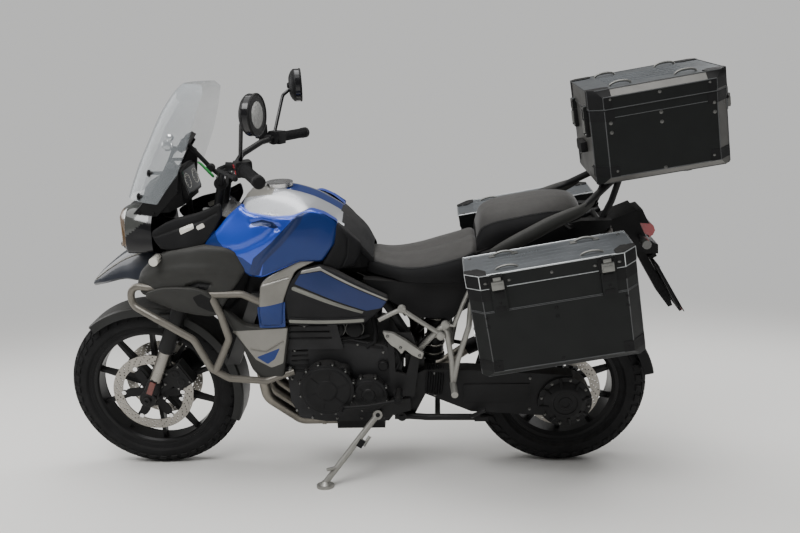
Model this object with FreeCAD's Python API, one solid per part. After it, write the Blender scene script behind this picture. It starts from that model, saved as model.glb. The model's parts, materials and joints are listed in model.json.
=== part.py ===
import FreeCAD, Part
import math
import os

# Adventure motorcycle, parked on its side stand.
# Drawn upright in millimetres: -X is forward, +Z is up, the rider's left is -Y,
# and the origin lies on the ground midway between the axles. At the end every
# piece is leaned over onto the side stand.

# Chassis and wheels
WHEELBASE = 1530.0
RAKE_DEG = 23.9
TRAIL = 105.0
LEAN_DEG = 12.7
FRONT_TYRE_R = 329.3
FRONT_CROWN_R = 55.0
FRONT_BEAD_R = 241.5
FRONT_RIM_R = 222.0
REAR_TYRE_R = 321.0
REAR_CROWN_R = 75.0
REAR_BEAD_R = 216.5
REAR_RIM_R = 189.0
SPOKES = 10
HUB_R = 38.0
REAR_HUB_R = 46.0
HUB_HALF = 72.0
AXLE_R = 12.0
REAR_AXLE_R = 25.0
RUNNING_FIT = 0.05
PADDOCK_BORE_R = 11.0
PADDOCK_BORE_DEPTH = 60.0

# Steering
LEG_Y = 105.0
STANCHION_R = 23.0
OUTER_LEG_R = 28.0
STEM_R = 15.0
STEM_BORE_R = 9.0
STEM_BORE_DEPTH = 40.0
LOWER_CLAMP_Z = 812.0
STEERING_DEG = 38.0
CLAMP_R = 34.0
NOSE_CROSS_X = -625.0
BEAK_REAR_X = -668.0
BAR_R = 11.0
GRIP_R = 17.0
BAR_CLAMP = (-425.0, 1125.0)
DISC_R = 152.5
DISC_Y = 65.5
DISC_T = 5.0
REAR_DISC_R = 141.0

# Boxes
BOX_WALL = 2.5
BOX_EDGE = 40.0
BOX_BEVEL = 22.0
SIDE_BOX_IN = 265.0
SIDE_BOX_WIDE = 200.0
SIDE_BOX_LONG = 515.0
SIDE_BOX_HIGH = 345.0
SIDE_BOX_LID = 46.0
SIDE_BOX_TILT = 9.0
SIDE_BOX_FRONT = (404.0, 903.0)
TOP_BOX_LONG = 425.0
TOP_BOX_WIDE = 400.0
TOP_BOX_HIGH = 300.0
TOP_BOX_LID = 62.0
TOP_BOX_TILT = 8.5
TOP_BOX_FRONT = (846.0, 1116.0)
LID_PIN_R = 3.0
KNUCKLE_R = 5.5
LID_OPEN_DEG = 95.0

# Stands
SIDE_PIVOT = (92.0, -190.0, 292.0)
SIDE_FOOT_XY = (-96.0, -312.0)
SIDE_FOLD_DEG = 100.0
CENTRE_PIVOT = (178.0, 262.0)
CENTRE_FEET = (462.0, 252.0)
CENTRE_LEG_Y = 142.0
CENTRE_DOWN_DEG = 95.0
STAND_PIN_R = 8.0

# Fuel cap
CAP_X = -232.0
CAP_SEAT_Z = 1101.0
CAP_R = 48.0
CAP_THICK = 13.0

V = FreeCAD.Vector
AXIS_X = V(1, 0, 0)
AXIS_Y = V(0, 1, 0)
AXIS_Z = V(0, 0, 1)
RAKE = math.radians(RAKE_DEG)
STEER_DIR = V(math.sin(RAKE), 0, math.cos(RAKE))
FRONT_AXLE = V(-WHEELBASE / 2, 0, FRONT_TYRE_R)
REAR_AXLE = V(WHEELBASE / 2, 0, REAR_TYRE_R)
STEER_FOOT = V(-WHEELBASE / 2 - TRAIL, 0, 0)


def steer_point(z, ahead=0.0, y=0.0):
    """A point on the steering axis at height z, moved square to it by ahead and sideways by y."""
    base = STEER_FOOT + STEER_DIR * (z / STEER_DIR.z)
    return base + V(-math.cos(RAKE) * ahead, y, math.sin(RAKE) * ahead)


FORK_OFFSET = (STEER_FOOT.x + FRONT_TYRE_R * math.tan(RAKE) - FRONT_AXLE.x) * math.cos(RAKE)


def leg_point(along, side):
    """A point on a fork leg, measured up the leg from the axle."""
    return FRONT_AXLE + V(0, side * LEG_Y, 0) + STEER_DIR * along


def mirror(shape):
    return shape.mirror(V(0, 0, 0), AXIS_Y)


def both(shape):
    return [shape, mirror(shape)]


def fuse(shapes):
    return shapes[0].fuse(shapes[1:]) if len(shapes) > 1 else shapes[0]


def block(x0, x1, y0, y1, z0, z1):
    return Part.makeBox(x1 - x0, y1 - y0, z1 - z0, V(x0, y0, z0))


def rod(a, b, radius):
    line = b - a
    return Part.makeCylinder(radius, line.Length, a, line)


def ring(a, b, outer, inner):
    return rod(a, b, outer).cut(rod(a, b, inner))


def plate(outline, y0, y1):
    """A plate with an outline in side view, between two widths."""
    wire = Part.makePolygon([V(x, y0, z) for x, z in outline] + [V(outline[0][0], y0, outline[0][1])])
    return Part.Face(wire).extrude(V(0, y1 - y0, 0))


def pillow(outline, y_in, y_rim, y_out, shrink, centre):
    """A panel: straight sides from y_in to y_rim, then sides that lean in to a smaller outer face."""
    first = Part.makePolygon([V(x, y_rim, z) for x, z in outline] + [V(outline[0][0], y_rim, outline[0][1])])
    small = [(centre[0] + (x - centre[0]) * shrink, centre[1] + (z - centre[1]) * shrink) for x, z in outline]
    second = Part.makePolygon([V(x, y_out, z) for x, z in small] + [V(small[0][0], y_out, small[0][1])])
    cap = Part.makeLoft([first, second], True, True)
    return fuse([plate(outline, y_in, y_rim), cap])


def skin(sections):
    """A symmetric body through cross-sections; each is x and the right half's points from bottom to top."""
    wires = []
    for x, half in sections:
        left = [(-y, z) for y, z in reversed(half) if y > 0.0]
        loop = [V(x, y, z) for y, z in half + left]
        wires.append(Part.makePolygon(loop + [loop[0]]))
    return Part.makeLoft(wires, True, True)


def tube(points, radius, bend):
    """A round tube along straight runs joined by bends."""
    points = [V(*p) for p in points]
    edges = []
    start = points[0]
    for before, corner, after in zip(points, points[1:], points[2:]):
        a = (before - corner).normalize()
        b = (after - corner).normalize()
        half = a.getAngle(b) / 2
        back = bend / math.tan(half)
        room = 0.48 * min((before - corner).Length, (after - corner).Length)
        reach = min(back, room)
        p = corner + a * reach
        q = corner + b * reach
        r = reach * math.tan(half)
        middle = corner + (a + b).normalize() * (r / math.sin(half) - r)
        edges.append(Part.makeLine(start, p))
        edges.append(Part.Arc(p, middle, q).toShape())
        start = q
    edges.append(Part.makeLine(start, points[-1]))
    section = Part.Face(Part.Wire(Part.makeCircle(radius, points[0], points[1] - points[0])))
    return Part.Wire(edges).makePipe(section)


def turned(profile, centre):
    """A body of revolution about a wheel's axle; the profile gives (y, radius) points."""
    pts = [V(centre.x, y, centre.z + r) for y, r in profile]
    return Part.Face(Part.makePolygon(pts + [pts[0]])).revolve(centre, AXIS_Y, 360)


def hollow_box(long, wide, high, chamfer, wall, low_bevel):
    """A box body in its own frame, open at the top, with chamfered outer upright and bottom edges."""
    outer = box_prism(0, long, -wide, 0, chamfer, 0, high)
    inner = box_prism(wall, long - wall, -wide + wall, -wall, chamfer, wall, high + 1)
    outer = outer.cut(bevel_wedge(0, long, -wide, low_bevel, 0))
    inner = inner.cut(bevel_wedge(0, long, -wide + wall, low_bevel, wall))
    return outer.cut(inner)


def bevel_wedge(x0, x1, y, size, z):
    """The wedge that a bevel takes off a lengthwise edge at (y, z); the box lies on the +y side and above."""
    pts = [V(x0 - 1, y - 1, z - 1), V(x0 - 1, y + size + 1, z - 1), V(x0 - 1, y - 1, z + size + 1)]
    return Part.Face(Part.makePolygon(pts + [pts[0]])).extrude(V(x1 - x0 + 2, 0, 0))


def box_prism(x0, x1, y0, y1, chamfer, z0, z1):
    """A prism whose two corners on the y0 side are chamfered."""
    c = chamfer
    pts = [V(x0, y1, z0), V(x1, y1, z0), V(x1, y0 + c, z0), V(x1 - c, y0, z0), V(x0 + c, y0, z0),
           V(x0, y0 + c, z0)]
    return Part.Face(Part.makePolygon(pts + [pts[0]])).extrude(V(0, 0, z1 - z0))


def tilted(shape, tilt_deg, front):
    """Carries a shape from a box's own frame to the motorcycle, rear end up."""
    out = shape.copy()
    out.rotate(V(0, 0, 0), AXIS_Y, -tilt_deg)
    out.translate(V(front[0], 0, front[1]))
    return out


# Wheels

def tyre(centre, radius, crown, bead, bead_y):
    """A tyre whose round crown is drawn in flats, with one edge where it meets the ground leaning."""
    top = radius - crown
    angles = [0.0] + [k * LEAN_DEG for k in (1, 3, 5)] + [90.0]
    half = [(crown * math.sin(math.radians(a)), top + crown * math.cos(math.radians(a))) for a in angles]
    half.append((bead_y, bead))
    return turned([(-y, r) for y, r in reversed(half[1:])] + half, centre)


def rim(centre, bead, inner, half, hub_r, hub_y, bore, spoke_wide):
    """A cast rim: barrel with a drop centre, hub and a ring of like spokes."""
    barrel = turned([(-half, bead), (half, bead), (half, bead - 7), (half - 12, inner), (12 - half, inner),
                     (-half, bead - 7)], centre)
    hub = rod(centre + V(0, hub_y[0], 0), centre + V(0, hub_y[1], 0), hub_r)
    pieces = [barrel, hub]
    w = spoke_wide / 2
    reach = inner + 2
    for i in range(SPOKES):
        spoke = Part.makeLoft([
            Part.makePolygon([V(hub_r - 6, -20, -w - 4), V(hub_r - 6, 20, -w - 4), V(hub_r - 6, 20, w + 4),
                              V(hub_r - 6, -20, w + 4), V(hub_r - 6, -20, -w - 4)]),
            Part.makePolygon([V(reach, -13, -w), V(reach, 13, -w), V(reach, 13, w), V(reach, -13, w),
                              V(reach, -13, -w)])], True, True)
        spoke.rotate(V(0, 0, 0), AXIS_Y, 18 + i * 360.0 / SPOKES)
        spoke.translate(centre)
        pieces.append(spoke)
    shape = fuse(pieces)
    return shape.cut(rod(centre + V(0, hub_y[0] - 1, 0), centre + V(0, hub_y[1] + 1, 0), bore))


def disc(centre, y0, y1, outer, hub_r, arms):
    """A brake disc on its carrier arms."""
    pieces = [ring(centre + V(0, y0, 0), centre + V(0, y1, 0), outer, outer - 36),
              ring(centre + V(0, y0, 0), centre + V(0, y1, 0), hub_r + 16, hub_r)]
    for i in range(arms):
        arm = Part.makeBox(outer - 36 - hub_r - 8, y1 - y0, 16, V(hub_r + 10, y0, -8))
        arm.rotate(V(0, 0, 0), AXIS_Y, i * 360.0 / arms)
        arm.translate(centre)
        pieces.append(arm)
    return fuse(pieces)


def fender(centre, inner, thick, half, lip, start_deg, end_deg):
    """A mudguard: a channel section swept about the axle, angles from the rear upward."""
    r0 = inner
    r1 = inner + thick
    profile = [(-half - thick, r0 - lip), (-half, r0 - lip), (-half, r0), (half, r0), (half, r0 - lip),
               (half + thick, r0 - lip), (half + thick, r0), (half - 6, r1), (6 - half, r1),
               (-half - thick, r0)]
    pts = [V(centre.x + r, y, centre.z) for y, r in profile]
    face = Part.Face(Part.makePolygon(pts + [pts[0]]))
    face.rotate(centre, AXIS_Y, -end_deg)
    return face.revolve(centre, AXIS_Y, end_deg - start_deg)


def wheels():
    front_bore = AXLE_R + RUNNING_FIT
    rear_bore = REAR_AXLE_R + RUNNING_FIT
    disc_t = DISC_T / 2
    discs = [disc(FRONT_AXLE, s * DISC_Y - disc_t, s * DISC_Y + disc_t, DISC_R, HUB_R, 6) for s in (-1, 1)]
    return {
        "front_tyre": [tyre(FRONT_AXLE, FRONT_TYRE_R, FRONT_CROWN_R, FRONT_BEAD_R, 40)],
        "front_rim": [rim(FRONT_AXLE, FRONT_BEAD_R, FRONT_RIM_R, 40, HUB_R, (-HUB_HALF, HUB_HALF),
                          front_bore, 12)],
        "front_discs": discs,
        "rear_tyre": [tyre(REAR_AXLE, REAR_TYRE_R, REAR_CROWN_R, REAR_BEAD_R, 56)],
        "rear_rim": [rim(REAR_AXLE, REAR_BEAD_R, REAR_RIM_R, 56, REAR_HUB_R, (-78, 58), rear_bore, 14)],
        "rear_disc": [disc(REAR_AXLE, -73, -68, REAR_DISC_R, REAR_HUB_R, 6)],
    }


# Steering

def front_fork():
    """Both legs, the two clamps, the stem and the axle."""
    pieces = [rod(FRONT_AXLE + V(0, -128, 0), FRONT_AXLE + V(0, 128, 0), AXLE_R)]
    top = (1033.0 - FRONT_TYRE_R) / STEER_DIR.z
    for side in (-1, 1):
        pieces.append(rod(leg_point(-22, side), leg_point(430, side), STANCHION_R))
        pieces.append(rod(leg_point(400, side), leg_point(top, side), OUTER_LEG_R))
        pieces.append(rod(leg_point(0, side) - V(0, 27, 0), leg_point(0, side) + V(0, 27, 0), 30))
    for z, thick in ((LOWER_CLAMP_Z, 34.0), (1000.0, 24.0)):
        low = steer_point(z)
        along = STEER_DIR * thick
        pieces.append(rod(low, low + along, 38))
        for side in (-1, 1):
            leg = steer_point(z, FORK_OFFSET, side * LEG_Y)
            pieces.append(rod(leg, leg + along, CLAMP_R))
        web = Part.makeBox(FORK_OFFSET + 30, 2 * LEG_Y, thick)
        web.translate(V(-FORK_OFFSET - 12, -LEG_Y, 0))
        web.rotate(V(0, 0, 0), AXIS_Y, RAKE_DEG)
        web.translate(low)
        pieces.append(web)
    pieces.append(rod(steer_point(820), steer_point(1010), STEM_R - RUNNING_FIT))
    shape = fuse(pieces)
    mouth = steer_point(LOWER_CLAMP_Z)
    return [shape.cut(rod(mouth - STEER_DIR * 40, mouth + STEER_DIR * STEM_BORE_DEPTH, STEM_BORE_R))]


BAR_HALF = ((0, 0, 0), (0, 62, 0), (34, 150, 62), (92, 225, 92), (138, 285, 97), (218, 440, 88))


def bar_path(side):
    return [(BAR_CLAMP[0] + dx, side * y, BAR_CLAMP[1] + dz) for dx, y, dz in BAR_HALF]


def handlebar():
    pieces = [tube(bar_path(-1)[:0:-1] + bar_path(1)[1:], BAR_R, 60)]
    clamp_low = steer_point(1018, FORK_OFFSET - 6)
    for y in (-48, 48):
        foot = V(clamp_low.x, y, clamp_low.z)
        head = V(BAR_CLAMP[0], y, BAR_CLAMP[1])
        pieces.append(rod(foot, head, 15))
        pieces.append(rod(head - V(0, 15, 0), head + V(0, 15, 0), 20))
    return [fuse(pieces)]


def along_bar(side, share):
    a = V(*bar_path(side)[-2])
    b = V(*bar_path(side)[-1])
    return a + (b - a) * share


def hand_controls():
    """Grip, switch block and lever for each hand, around the bar."""
    out = []
    for side in (-1, 1):
        grip = rod(along_bar(side, 0.16), along_bar(side, 0.97), GRIP_R)
        weight = rod(along_bar(side, 0.97), along_bar(side, 1.03), GRIP_R + 2)
        switch = rod(along_bar(side, -0.12), along_bar(side, 0.16), 25)
        perch_at = along_bar(side, -0.16)
        perch = rod(perch_at, perch_at + V(-46, side * 6, 4), 13)
        elbow = perch_at + V(-46, side * 6, 4)
        tip = along_bar(side, 0.86) + V(-62, 0, 4)
        lever = tube([tuple(elbow), tuple(elbow + V(-14, side * 50, 0)), tuple(tip)], 6, 30)
        knob = Part.makeSphere(9, tip)
        pieces = [grip, weight, switch, perch, lever, knob]
        if side > 0:
            pieces.append(rod(elbow + V(6, 6, -2), elbow + V(6, 6, 46), 24))
        out.append(fuse(pieces))
    return out


def mirrors():
    """A stalk and a round head for each side."""
    out = []
    for side in (-1, 1):
        root = along_bar(side, 0.02) + V(-6, 0, 22)
        knee = V(-262, side * 352, 1372)
        head = V(-222, side * 398, 1404)
        stalk = tube([tuple(root), tuple(knee), tuple(head)], 6.5, 25)
        shell = Part.makeCylinder(62, 22, V(0, 0, 0), AXIS_X)
        dome = Part.makeCone(62, 34, 20, V(0, 0, 0), V(-1, 0, 0))
        body = fuse([shell, dome])
        body.rotate(V(0, 0, 0), AXIS_Z, side * 12)
        body.translate(head)
        out.append(fuse([stalk, body]))
    return out


def device_holder():
    arm = tube([(-430, 0, 1132), (-470, 0, 1170), (-544, 0, 1258)], 8, 20)
    pad = block(-9, 9, -38, 38, -30, 34)
    pad.rotate(V(0, 0, 0), AXIS_Y, 35)
    pad.translate(V(-546, 0, 1261))
    return [fuse([arm, pad])]


def front_mudguard():
    shell = fender(FRONT_AXLE, 338, 4, 63, 30, -22, 128)
    stays = []
    for side in (-1, 1):
        y0 = side * 67 if side > 0 else -84
        stay = block(60, 150, y0, y0 + 17, 270, 318)
        stay.translate(FRONT_AXLE)
        stays.append(stay)
    return [fuse([shell] + stays)]


def front_calipers():
    """A block outside and inside each disc, on a lug to the leg."""
    out = []
    for side in (-1, 1):
        body = block(98, 174, 49, 98, -44, 48)
        slot = block(60, 160, DISC_Y - 9, DISC_Y + 9, -60, 60)
        lug = block(40, 104, 80, 98, -16, 30)
        shape = fuse([body.cut(slot), lug.cut(slot)])
        shape.rotate(V(0, 0, 0), AXIS_Y, -32)
        shape.translate(FRONT_AXLE)
        out.append(shape if side > 0 else mirror(shape))
    return out


# Frame and engine

def main_frame():
    """Steering head, two spars round the engine, pivot plates and stand pivots."""
    head = rod(steer_point(849), steer_point(993), 31)
    pieces = [head]
    for side in (-1, 1):
        spar = tube([(-452, side * 14, 905), (-400, side * 52, 850), (-322, side * 92, 778),
                     (-230, side * 104, 766), (-20, side * 112, 766), (138, side * 114, 690),
                     (222, side * 112, 540), (228, side * 112, 420)], 17, 45)
        pieces.append(spar)
        brace = tube([(-470, side * 14, 880), (-400, side * 60, 815), (-322, side * 92, 778)], 14, 30)
        pieces.append(brace)
        low = min(side * 100, side * 125)
        pieces.append(plate([(196, 500), (262, 500), (266, 340), (214, 236), (150, 236), (150, 274),
                             (190, 330)], low, low + 25))
        pieces.append(block(-190, -160, min(side * 92, side * 116), max(side * 92, side * 116), 738, 766))
        pieces.append(block(184, 200, min(side * 100, side * 125), max(side * 100, side * 125), 400, 440))
        pieces.append(rod(V(CENTRE_PIVOT[0], side * 124, CENTRE_PIVOT[1]),
                          V(CENTRE_PIVOT[0], side * 159, CENTRE_PIVOT[1]), STAND_PIN_R))
    pieces.append(rod(V(240, -101, 470), V(240, 101, 470), 12))
    pieces.append(plate([(72, 276), (112, 270), (212, 300), (212, 345), (150, 345), (80, 318)],
                        -176, -158))
    pieces.append(block(196, 212, -160, -100, 300, 345))
    shape = fuse(pieces)
    return [shape.cut(rod(steer_point(830), steer_point(1005), STEM_R))]


def engine():
    """One plain mass with its round side covers and the cylinder block leaning on top."""
    case = plate([(-225, 330), (-195, 262), (-100, 245), (130, 245), (176, 308), (185, 480), (130, 545),
                  (10, 572), (-235, 548)], -150, 150)
    head = plate([(-262, 560), (-235, 540), (-20, 540), (-40, 640), (-84, 740), (-258, 740)], -160, 160)
    sump = block(-190, 90, -100, 100, 234, 250)
    pieces = [case, head, sump]
    for x, z, r, y0, y1 in ((-82, 402, 92, -210, -148), (64, 372, 62, -193, -148),
                            (18, 400, 108, 148, 216), (-130, 372, 56, 148, 200), (-150, 690, 46, -186, -158)):
        pieces.append(rod(V(x, y0, z), V(x, y1, z), r))
    return [fuse(pieces)]


def radiator():
    core = plate([(-436, 500), (-398, 500), (-284, 756), (-322, 756)], -150, 150)
    tanks = both(plate([(-440, 492), (-394, 492), (-280, 762), (-326, 762)], 150, 176))
    return [fuse([core] + tanks)]


def exhaust_headers():
    """Three pipes, the collector under the engine and the link to the silencer."""
    pieces = []
    for y in (-82, 0, 82):
        pieces.append(tube([(-259, y, 652), (-302, y, 632), (-346, y, 470), (-326, y, 312),
                            (-205, y * 0.9, 214), (-55, y * 0.7, 206)], 20, 60))
    pieces.append(block(-70, 110, -88, 88, 180, 233))
    pieces.append(tube([(20, 70, 206), (70, 168, 206), (140, 206, 216), (330, 212, 300),
                        (432, 212, 372)], 24, 60))
    return [fuse(pieces)]


SILENCER_LINE = ((425, 212, 368), (470, 214, 388), (850, 226, 480))


def silencer():
    a, b, c = [V(*p) for p in SILENCER_LINE]
    neck = rod(a, b, 30)
    can = rod(b, c, 62)
    tail = rod(c, c + (c - b).normalize() * 34, 30)
    bore = rod(c + (c - b).normalize() * 4, c + (c - b).normalize() * 40, 24)
    hanger = rod(V(374, 184, 410), V(440, 212, 384), 8)
    return [fuse([neck, can, tail, hanger]).cut(bore)]


def subframe():
    """Seat rails, lower braces, and the silver rails that carry the side boxes."""
    pieces = []
    for side in (-1, 1):
        pieces.append(tube([(120, side * 82, 716), (260, side * 82, 742), (430, side * 82, 762),
                            (905, side * 82, 968)], 14, 60))
        pieces.append(tube([(236, side * 88, 500), (330, side * 84, 600), (560, side * 82, 812)], 12, 60))
        pieces.append(tube([(438, side * 84, 766), (452, side * 200, 782), (486, side * 255, 800),
                            (900, side * 255, 866), (908, side * 200, 900), (900, side * 84, 962)], 10, 36))
        pieces.append(tube([(486, side * 255, 800), (505, side * 255, 640), (560, side * 255, 612),
                            (880, side * 255, 662), (898, side * 255, 700), (900, side * 255, 866)], 10, 30))
    for x, z in ((300, 748), (560, 818), (880, 957)):
        pieces.append(rod(V(x, -82, z), V(x, 82, z), 10))
    return [fuse(pieces)]


def footpeg_hangers():
    """Polished hangers with rider and passenger pegs and the foot levers."""
    out = []
    for side in (-1, 1):
        y0 = min(side * 157, side * 167)
        body = plate([(138, 600), (222, 600), (250, 508), (226, 352), (154, 352), (140, 440)], y0, y0 + 10)
        window = plate([(160, 572), (202, 572), (218, 508), (200, 440), (162, 450)], y0 - 1, y0 + 11)
        peg = rod(V(172, side * 164, 374), V(172, side * 256, 378), 12)
        bosses = [rod(V(x, side * 118, z), V(x, side * 160, z), 11) for x, z in ((226, 474), (212, 350))]
        vee = tube([(236, side * 162, 520), (300, side * 164, 590), (342, side * 172, 636),
                    (362, side * 180, 500), (366, side * 182, 410)], 10, 30)
        arm = tube([(366, side * 182, 410), (384, side * 180, 500), (424, side * 168, 622),
                    (438, side * 110, 742)], 10, 30)
        rear_peg = rod(V(366, side * 178, 408), V(370, side * 268, 408), 12)
        lever = tube([(172, side * 226, 366), (60, side * 226, 346), (-28, side * 226, 340),
                      (-30, side * 262, 341)], 6, 12)
        out.append(fuse([body.cut(window), peg, vee, arm, rear_peg, lever] + bosses))
    return out


def crash_bars():
    out = []
    for side in (-1, 1):
        loop = tube([(-236, side * 156, 690), (-262, side * 200, 722), (-350, side * 214, 774),
                     (-462, side * 226, 778), (-738, side * 198, 806),
                     (-744, side * 198, 735), (-646, side * 232, 692), (-528, side * 236, 616),
                     (-478, side * 236, 505), (-420, side * 226, 462), (-300, side * 190, 432),
                     (-205, side * 156, 452)], 12.5, 40)
        second = tube([(-455, side * 226, 778), (-424, side * 236, 706), (-404, side * 237, 617),
                       (-464, side * 236, 496)], 12.5, 26)
        out.append(fuse([loop, second]))
    return out


# Bodywork

# Side-view outlines as (x, z) points, from the front round over the top
COWL = ((-722, 806), (-703, 851), (-655, 896), (-592, 926), (-535, 938), (-462, 948), (-394, 940),
        (-352, 918), (-329, 858), (-361, 813), (-401, 759), (-425, 722), (-421, 700), (-470, 690),
        (-519, 700), (-588, 716), (-642, 740), (-675, 757), (-706, 770))
LOWER_COWL = ((-440, 735), (-425, 722), (-396, 690), (-354, 650), (-296, 640), (-205, 640), (-215, 560),
              (-237, 438), (-312, 432), (-345, 478), (-376, 593), (-411, 668), (-436, 705))
TANK_SIDE = ((-497, 904), (-419, 996), (-340, 1066), (-313, 1046), (-224, 1032), (-163, 1034),
             (-104, 1046), (-60, 1030), (-16, 998), (-28, 933), (-73, 873), (-148, 880), (-277, 827),
             (-325, 835), (-350, 864), (-403, 887))
INFILL = ((-286, 803), (-262, 824), (-235, 836), (-149, 876), (-92, 873), (-165, 840), (-189, 800),
          (-212, 742), (-223, 650), (-299, 650), (-294, 729))
SIDE_COVER = ((-149, 846), (-79, 862), (-20, 836), (151, 734), (128, 700), (62, 648), (-202, 650),
              (-219, 732), (-187, 802))
TAIL_PANEL = ((60, 792), (190, 780), (400, 785), (455, 882), (533, 915), (667, 955), (800, 985), (905, 985),
              (900, 960), (640, 840), (475, 740), (455, 700), (359, 640), (254, 645), (167, 701), (110, 735))


def fuel_tank():
    return [skin([
        (-318, [(0, 800), (100, 800), (145, 832), (145, 985), (100, 1045), (0, 1062)]),
        (-250, [(0, 800), (100, 800), (150, 832), (150, 1000), (105, 1055), (0, 1075)]),
        (-130, [(0, 800), (100, 800), (150, 832), (150, 975), (105, 1030), (0, 1050)]),
        (-20, [(0, 800), (100, 800), (135, 832), (135, 930), (95, 975), (0, 993)]),
        (50, [(0, 800), (80, 800), (105, 825), (105, 880), (75, 908), (0, 920)]),
        (85, [(0, 800), (60, 800), (80, 820), (80, 845), (55, 856), (0, 862)])])]


def tank_sides():
    return both(pillow(TANK_SIDE, -150, -168, -206, 0.84, (-230, 940)))


def tank_top_cover():
    shell = skin([
        (-322, [(0, 985), (152, 985), (152, 1040), (108, 1068), (0, 1084)]),
        (-250, [(0, 985), (174, 985), (170, 1042), (112, 1080), (0, 1096)]),
        (-130, [(0, 960), (176, 960), (168, 1015), (112, 1052), (0, 1069)]),
        (-20, [(0, 905), (152, 905), (144, 955), (98, 993), (0, 1012)]),
        (50, [(0, 850), (118, 850), (112, 896), (78, 926), (0, 941)]),
        (98, [(0, 815), (90, 815), (87, 846), (60, 868), (0, 880)])])
    neck = rod(V(CAP_X, 0, CAP_SEAT_Z - 45), V(CAP_X, 0, CAP_SEAT_Z - 0.5), CAP_R + 3)
    lugs = [block(CAP_X - 70, CAP_X - 50, y, y + 8, CAP_SEAT_Z - 30, CAP_SEAT_Z + 12) for y in (-22, 14)]
    pin = rod(V(CAP_X - 60, -20, CAP_SEAT_Z + 6), V(CAP_X - 60, 20, CAP_SEAT_Z + 6), LID_PIN_R)
    return [fuse([shell, neck, pin] + lugs)]


def fuel_cap():
    lid = rod(V(CAP_X, 0, CAP_SEAT_Z), V(CAP_X, 0, CAP_SEAT_Z + CAP_THICK), CAP_R)
    knuckle = block(CAP_X - 66, CAP_X - 40, -11, 11, CAP_SEAT_Z, CAP_SEAT_Z + 12)
    bore = rod(V(CAP_X - 60, -12, CAP_SEAT_Z + 6), V(CAP_X - 60, 12, CAP_SEAT_Z + 6), LID_PIN_R + RUNNING_FIT)
    return [fuse([lid, knuckle]).cut(bore)]


def front_cowls():
    upper = pillow(COWL, -152, -190, -222, 0.86, (-520, 830))
    lower = pillow(LOWER_COWL, -152, -180, -196, 0.88, (-310, 560))
    return both(fuse([upper, lower]))


def infill_panels():
    return both(plate(INFILL, -191, -170))


def side_covers():
    return both(pillow(SIDE_COVER, -168, -188, -203, 0.88, (-60, 745)))


def tail_panels():
    return both(plate(TAIL_PANEL, -138, -98))


def beak():
    return [skin([
        (-948, [(0, 746), (14, 748), (14, 754), (0, 758)]),
        (-895, [(0, 760), (46, 766), (40, 792), (0, 808)]),
        (-812, [(0, 786), (84, 792), (76, 838), (0, 863)]),
        (-735, [(0, 806), (128, 800), (118, 866), (0, 893)]),
        (BEAK_REAR_X, [(0, 816), (142, 800), (134, 876), (0, 898)])])]


def headlight():
    return [skin([
        (-800, [(0, 908), (118, 915), (128, 965), (96, 1030), (0, 1018)]),
        (-765, [(0, 900), (132, 905), (142, 968), (112, 1046), (0, 1040)]),
        (-660, [(0, 895), (150, 900), (152, 960), (120, 1040), (0, 1048)])])]


def headlight_lens():
    half = plate([(-812, 936), (-800, 924), (-790, 924), (-770, 1030), (-784, 1026), (-808, 990)], -112, -14)
    return both(half)


SCREEN = ((1082, -768, -623, 165), (1181, -724, -541, 172), (1279, -670, -496, 165), (1375, -614, -462, 148),
          (1440, -562, -440, 120), (1461, -530, -448, 80))
SCREEN_T = 4.0
SCREEN_STUDS = ((-632, 1100), (-586, 1180))


def windscreen():
    """A clear sheet bowed forward in the middle."""
    wires = []
    for z, nose, edge, half in SCREEN:
        share = [i / 5.0 for i in range(-5, 6)]
        front = [V(nose + (edge - nose) * s * s, half * s, z) for s in share]
        back = [p + V(SCREEN_T, 0, 0) for p in reversed(front)]
        wires.append(Part.makePolygon(front + back + [front[0]]))
    return [Part.makeLoft(wires, True, True)]


def instrument_panel():
    dash = skin([
        (-690, [(0, 1040), (112, 1036), (118, 1070), (60, 1120), (0, 1130)]),
        (-600, [(0, 1046), (112, 1040), (116, 1096), (92, 1168), (0, 1180)]),
        (-552, [(0, 1060), (96, 1060), (100, 1100), (86, 1176), (0, 1186)])])
    arms = []
    for side in (-1, 1):
        y0 = min(side * 112, side * 124)
        arms.append(plate([(-720, 1030), (-640, 1030), (-560, 1110), (-548, 1200), (-566, 1226),
                           (-640, 1120)], y0, y0 + 12))
        for x, z in SCREEN_STUDS:
            arms.append(rod(V(x, side * 118, z), V(x - 62, side * 118, z), 6))
    return [fuse([dash] + arms)]


def nose_frame():
    """The black stay from the steering head that carries the lamp, cowls and dash."""
    bar = tube([(-488, 0, 924), (-560, 0, 960), (-668, 0, 985)], 15, 40)
    cross = rod(V(NOSE_CROSS_X, -152, 930), V(NOSE_CROSS_X, 152, 930), 10)
    drop = rod(V(NOSE_CROSS_X, 0, 925), V(NOSE_CROSS_X, 0, 975), 12)
    post = rod(V(-562, 0, 950), V(-562, 0, 1064), 12)
    return fuse([bar, cross, drop, post])


def rider_seat():
    return [skin([
        (62, [(0, 805), (70, 805), (84, 832), (60, 862), (0, 870)]),
        (130, [(0, 792), (100, 792), (116, 822), (84, 850), (0, 856)]),
        (205, [(0, 784), (132, 784), (146, 812), (112, 842), (0, 846)]),
        (300, [(0, 783), (155, 783), (168, 812), (130, 856), (0, 862)]),
        (400, [(0, 787), (158, 787), (170, 836), (130, 885), (0, 892)]),
        (452, [(0, 806), (140, 806), (150, 852), (120, 902), (0, 910)])])]


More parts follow.
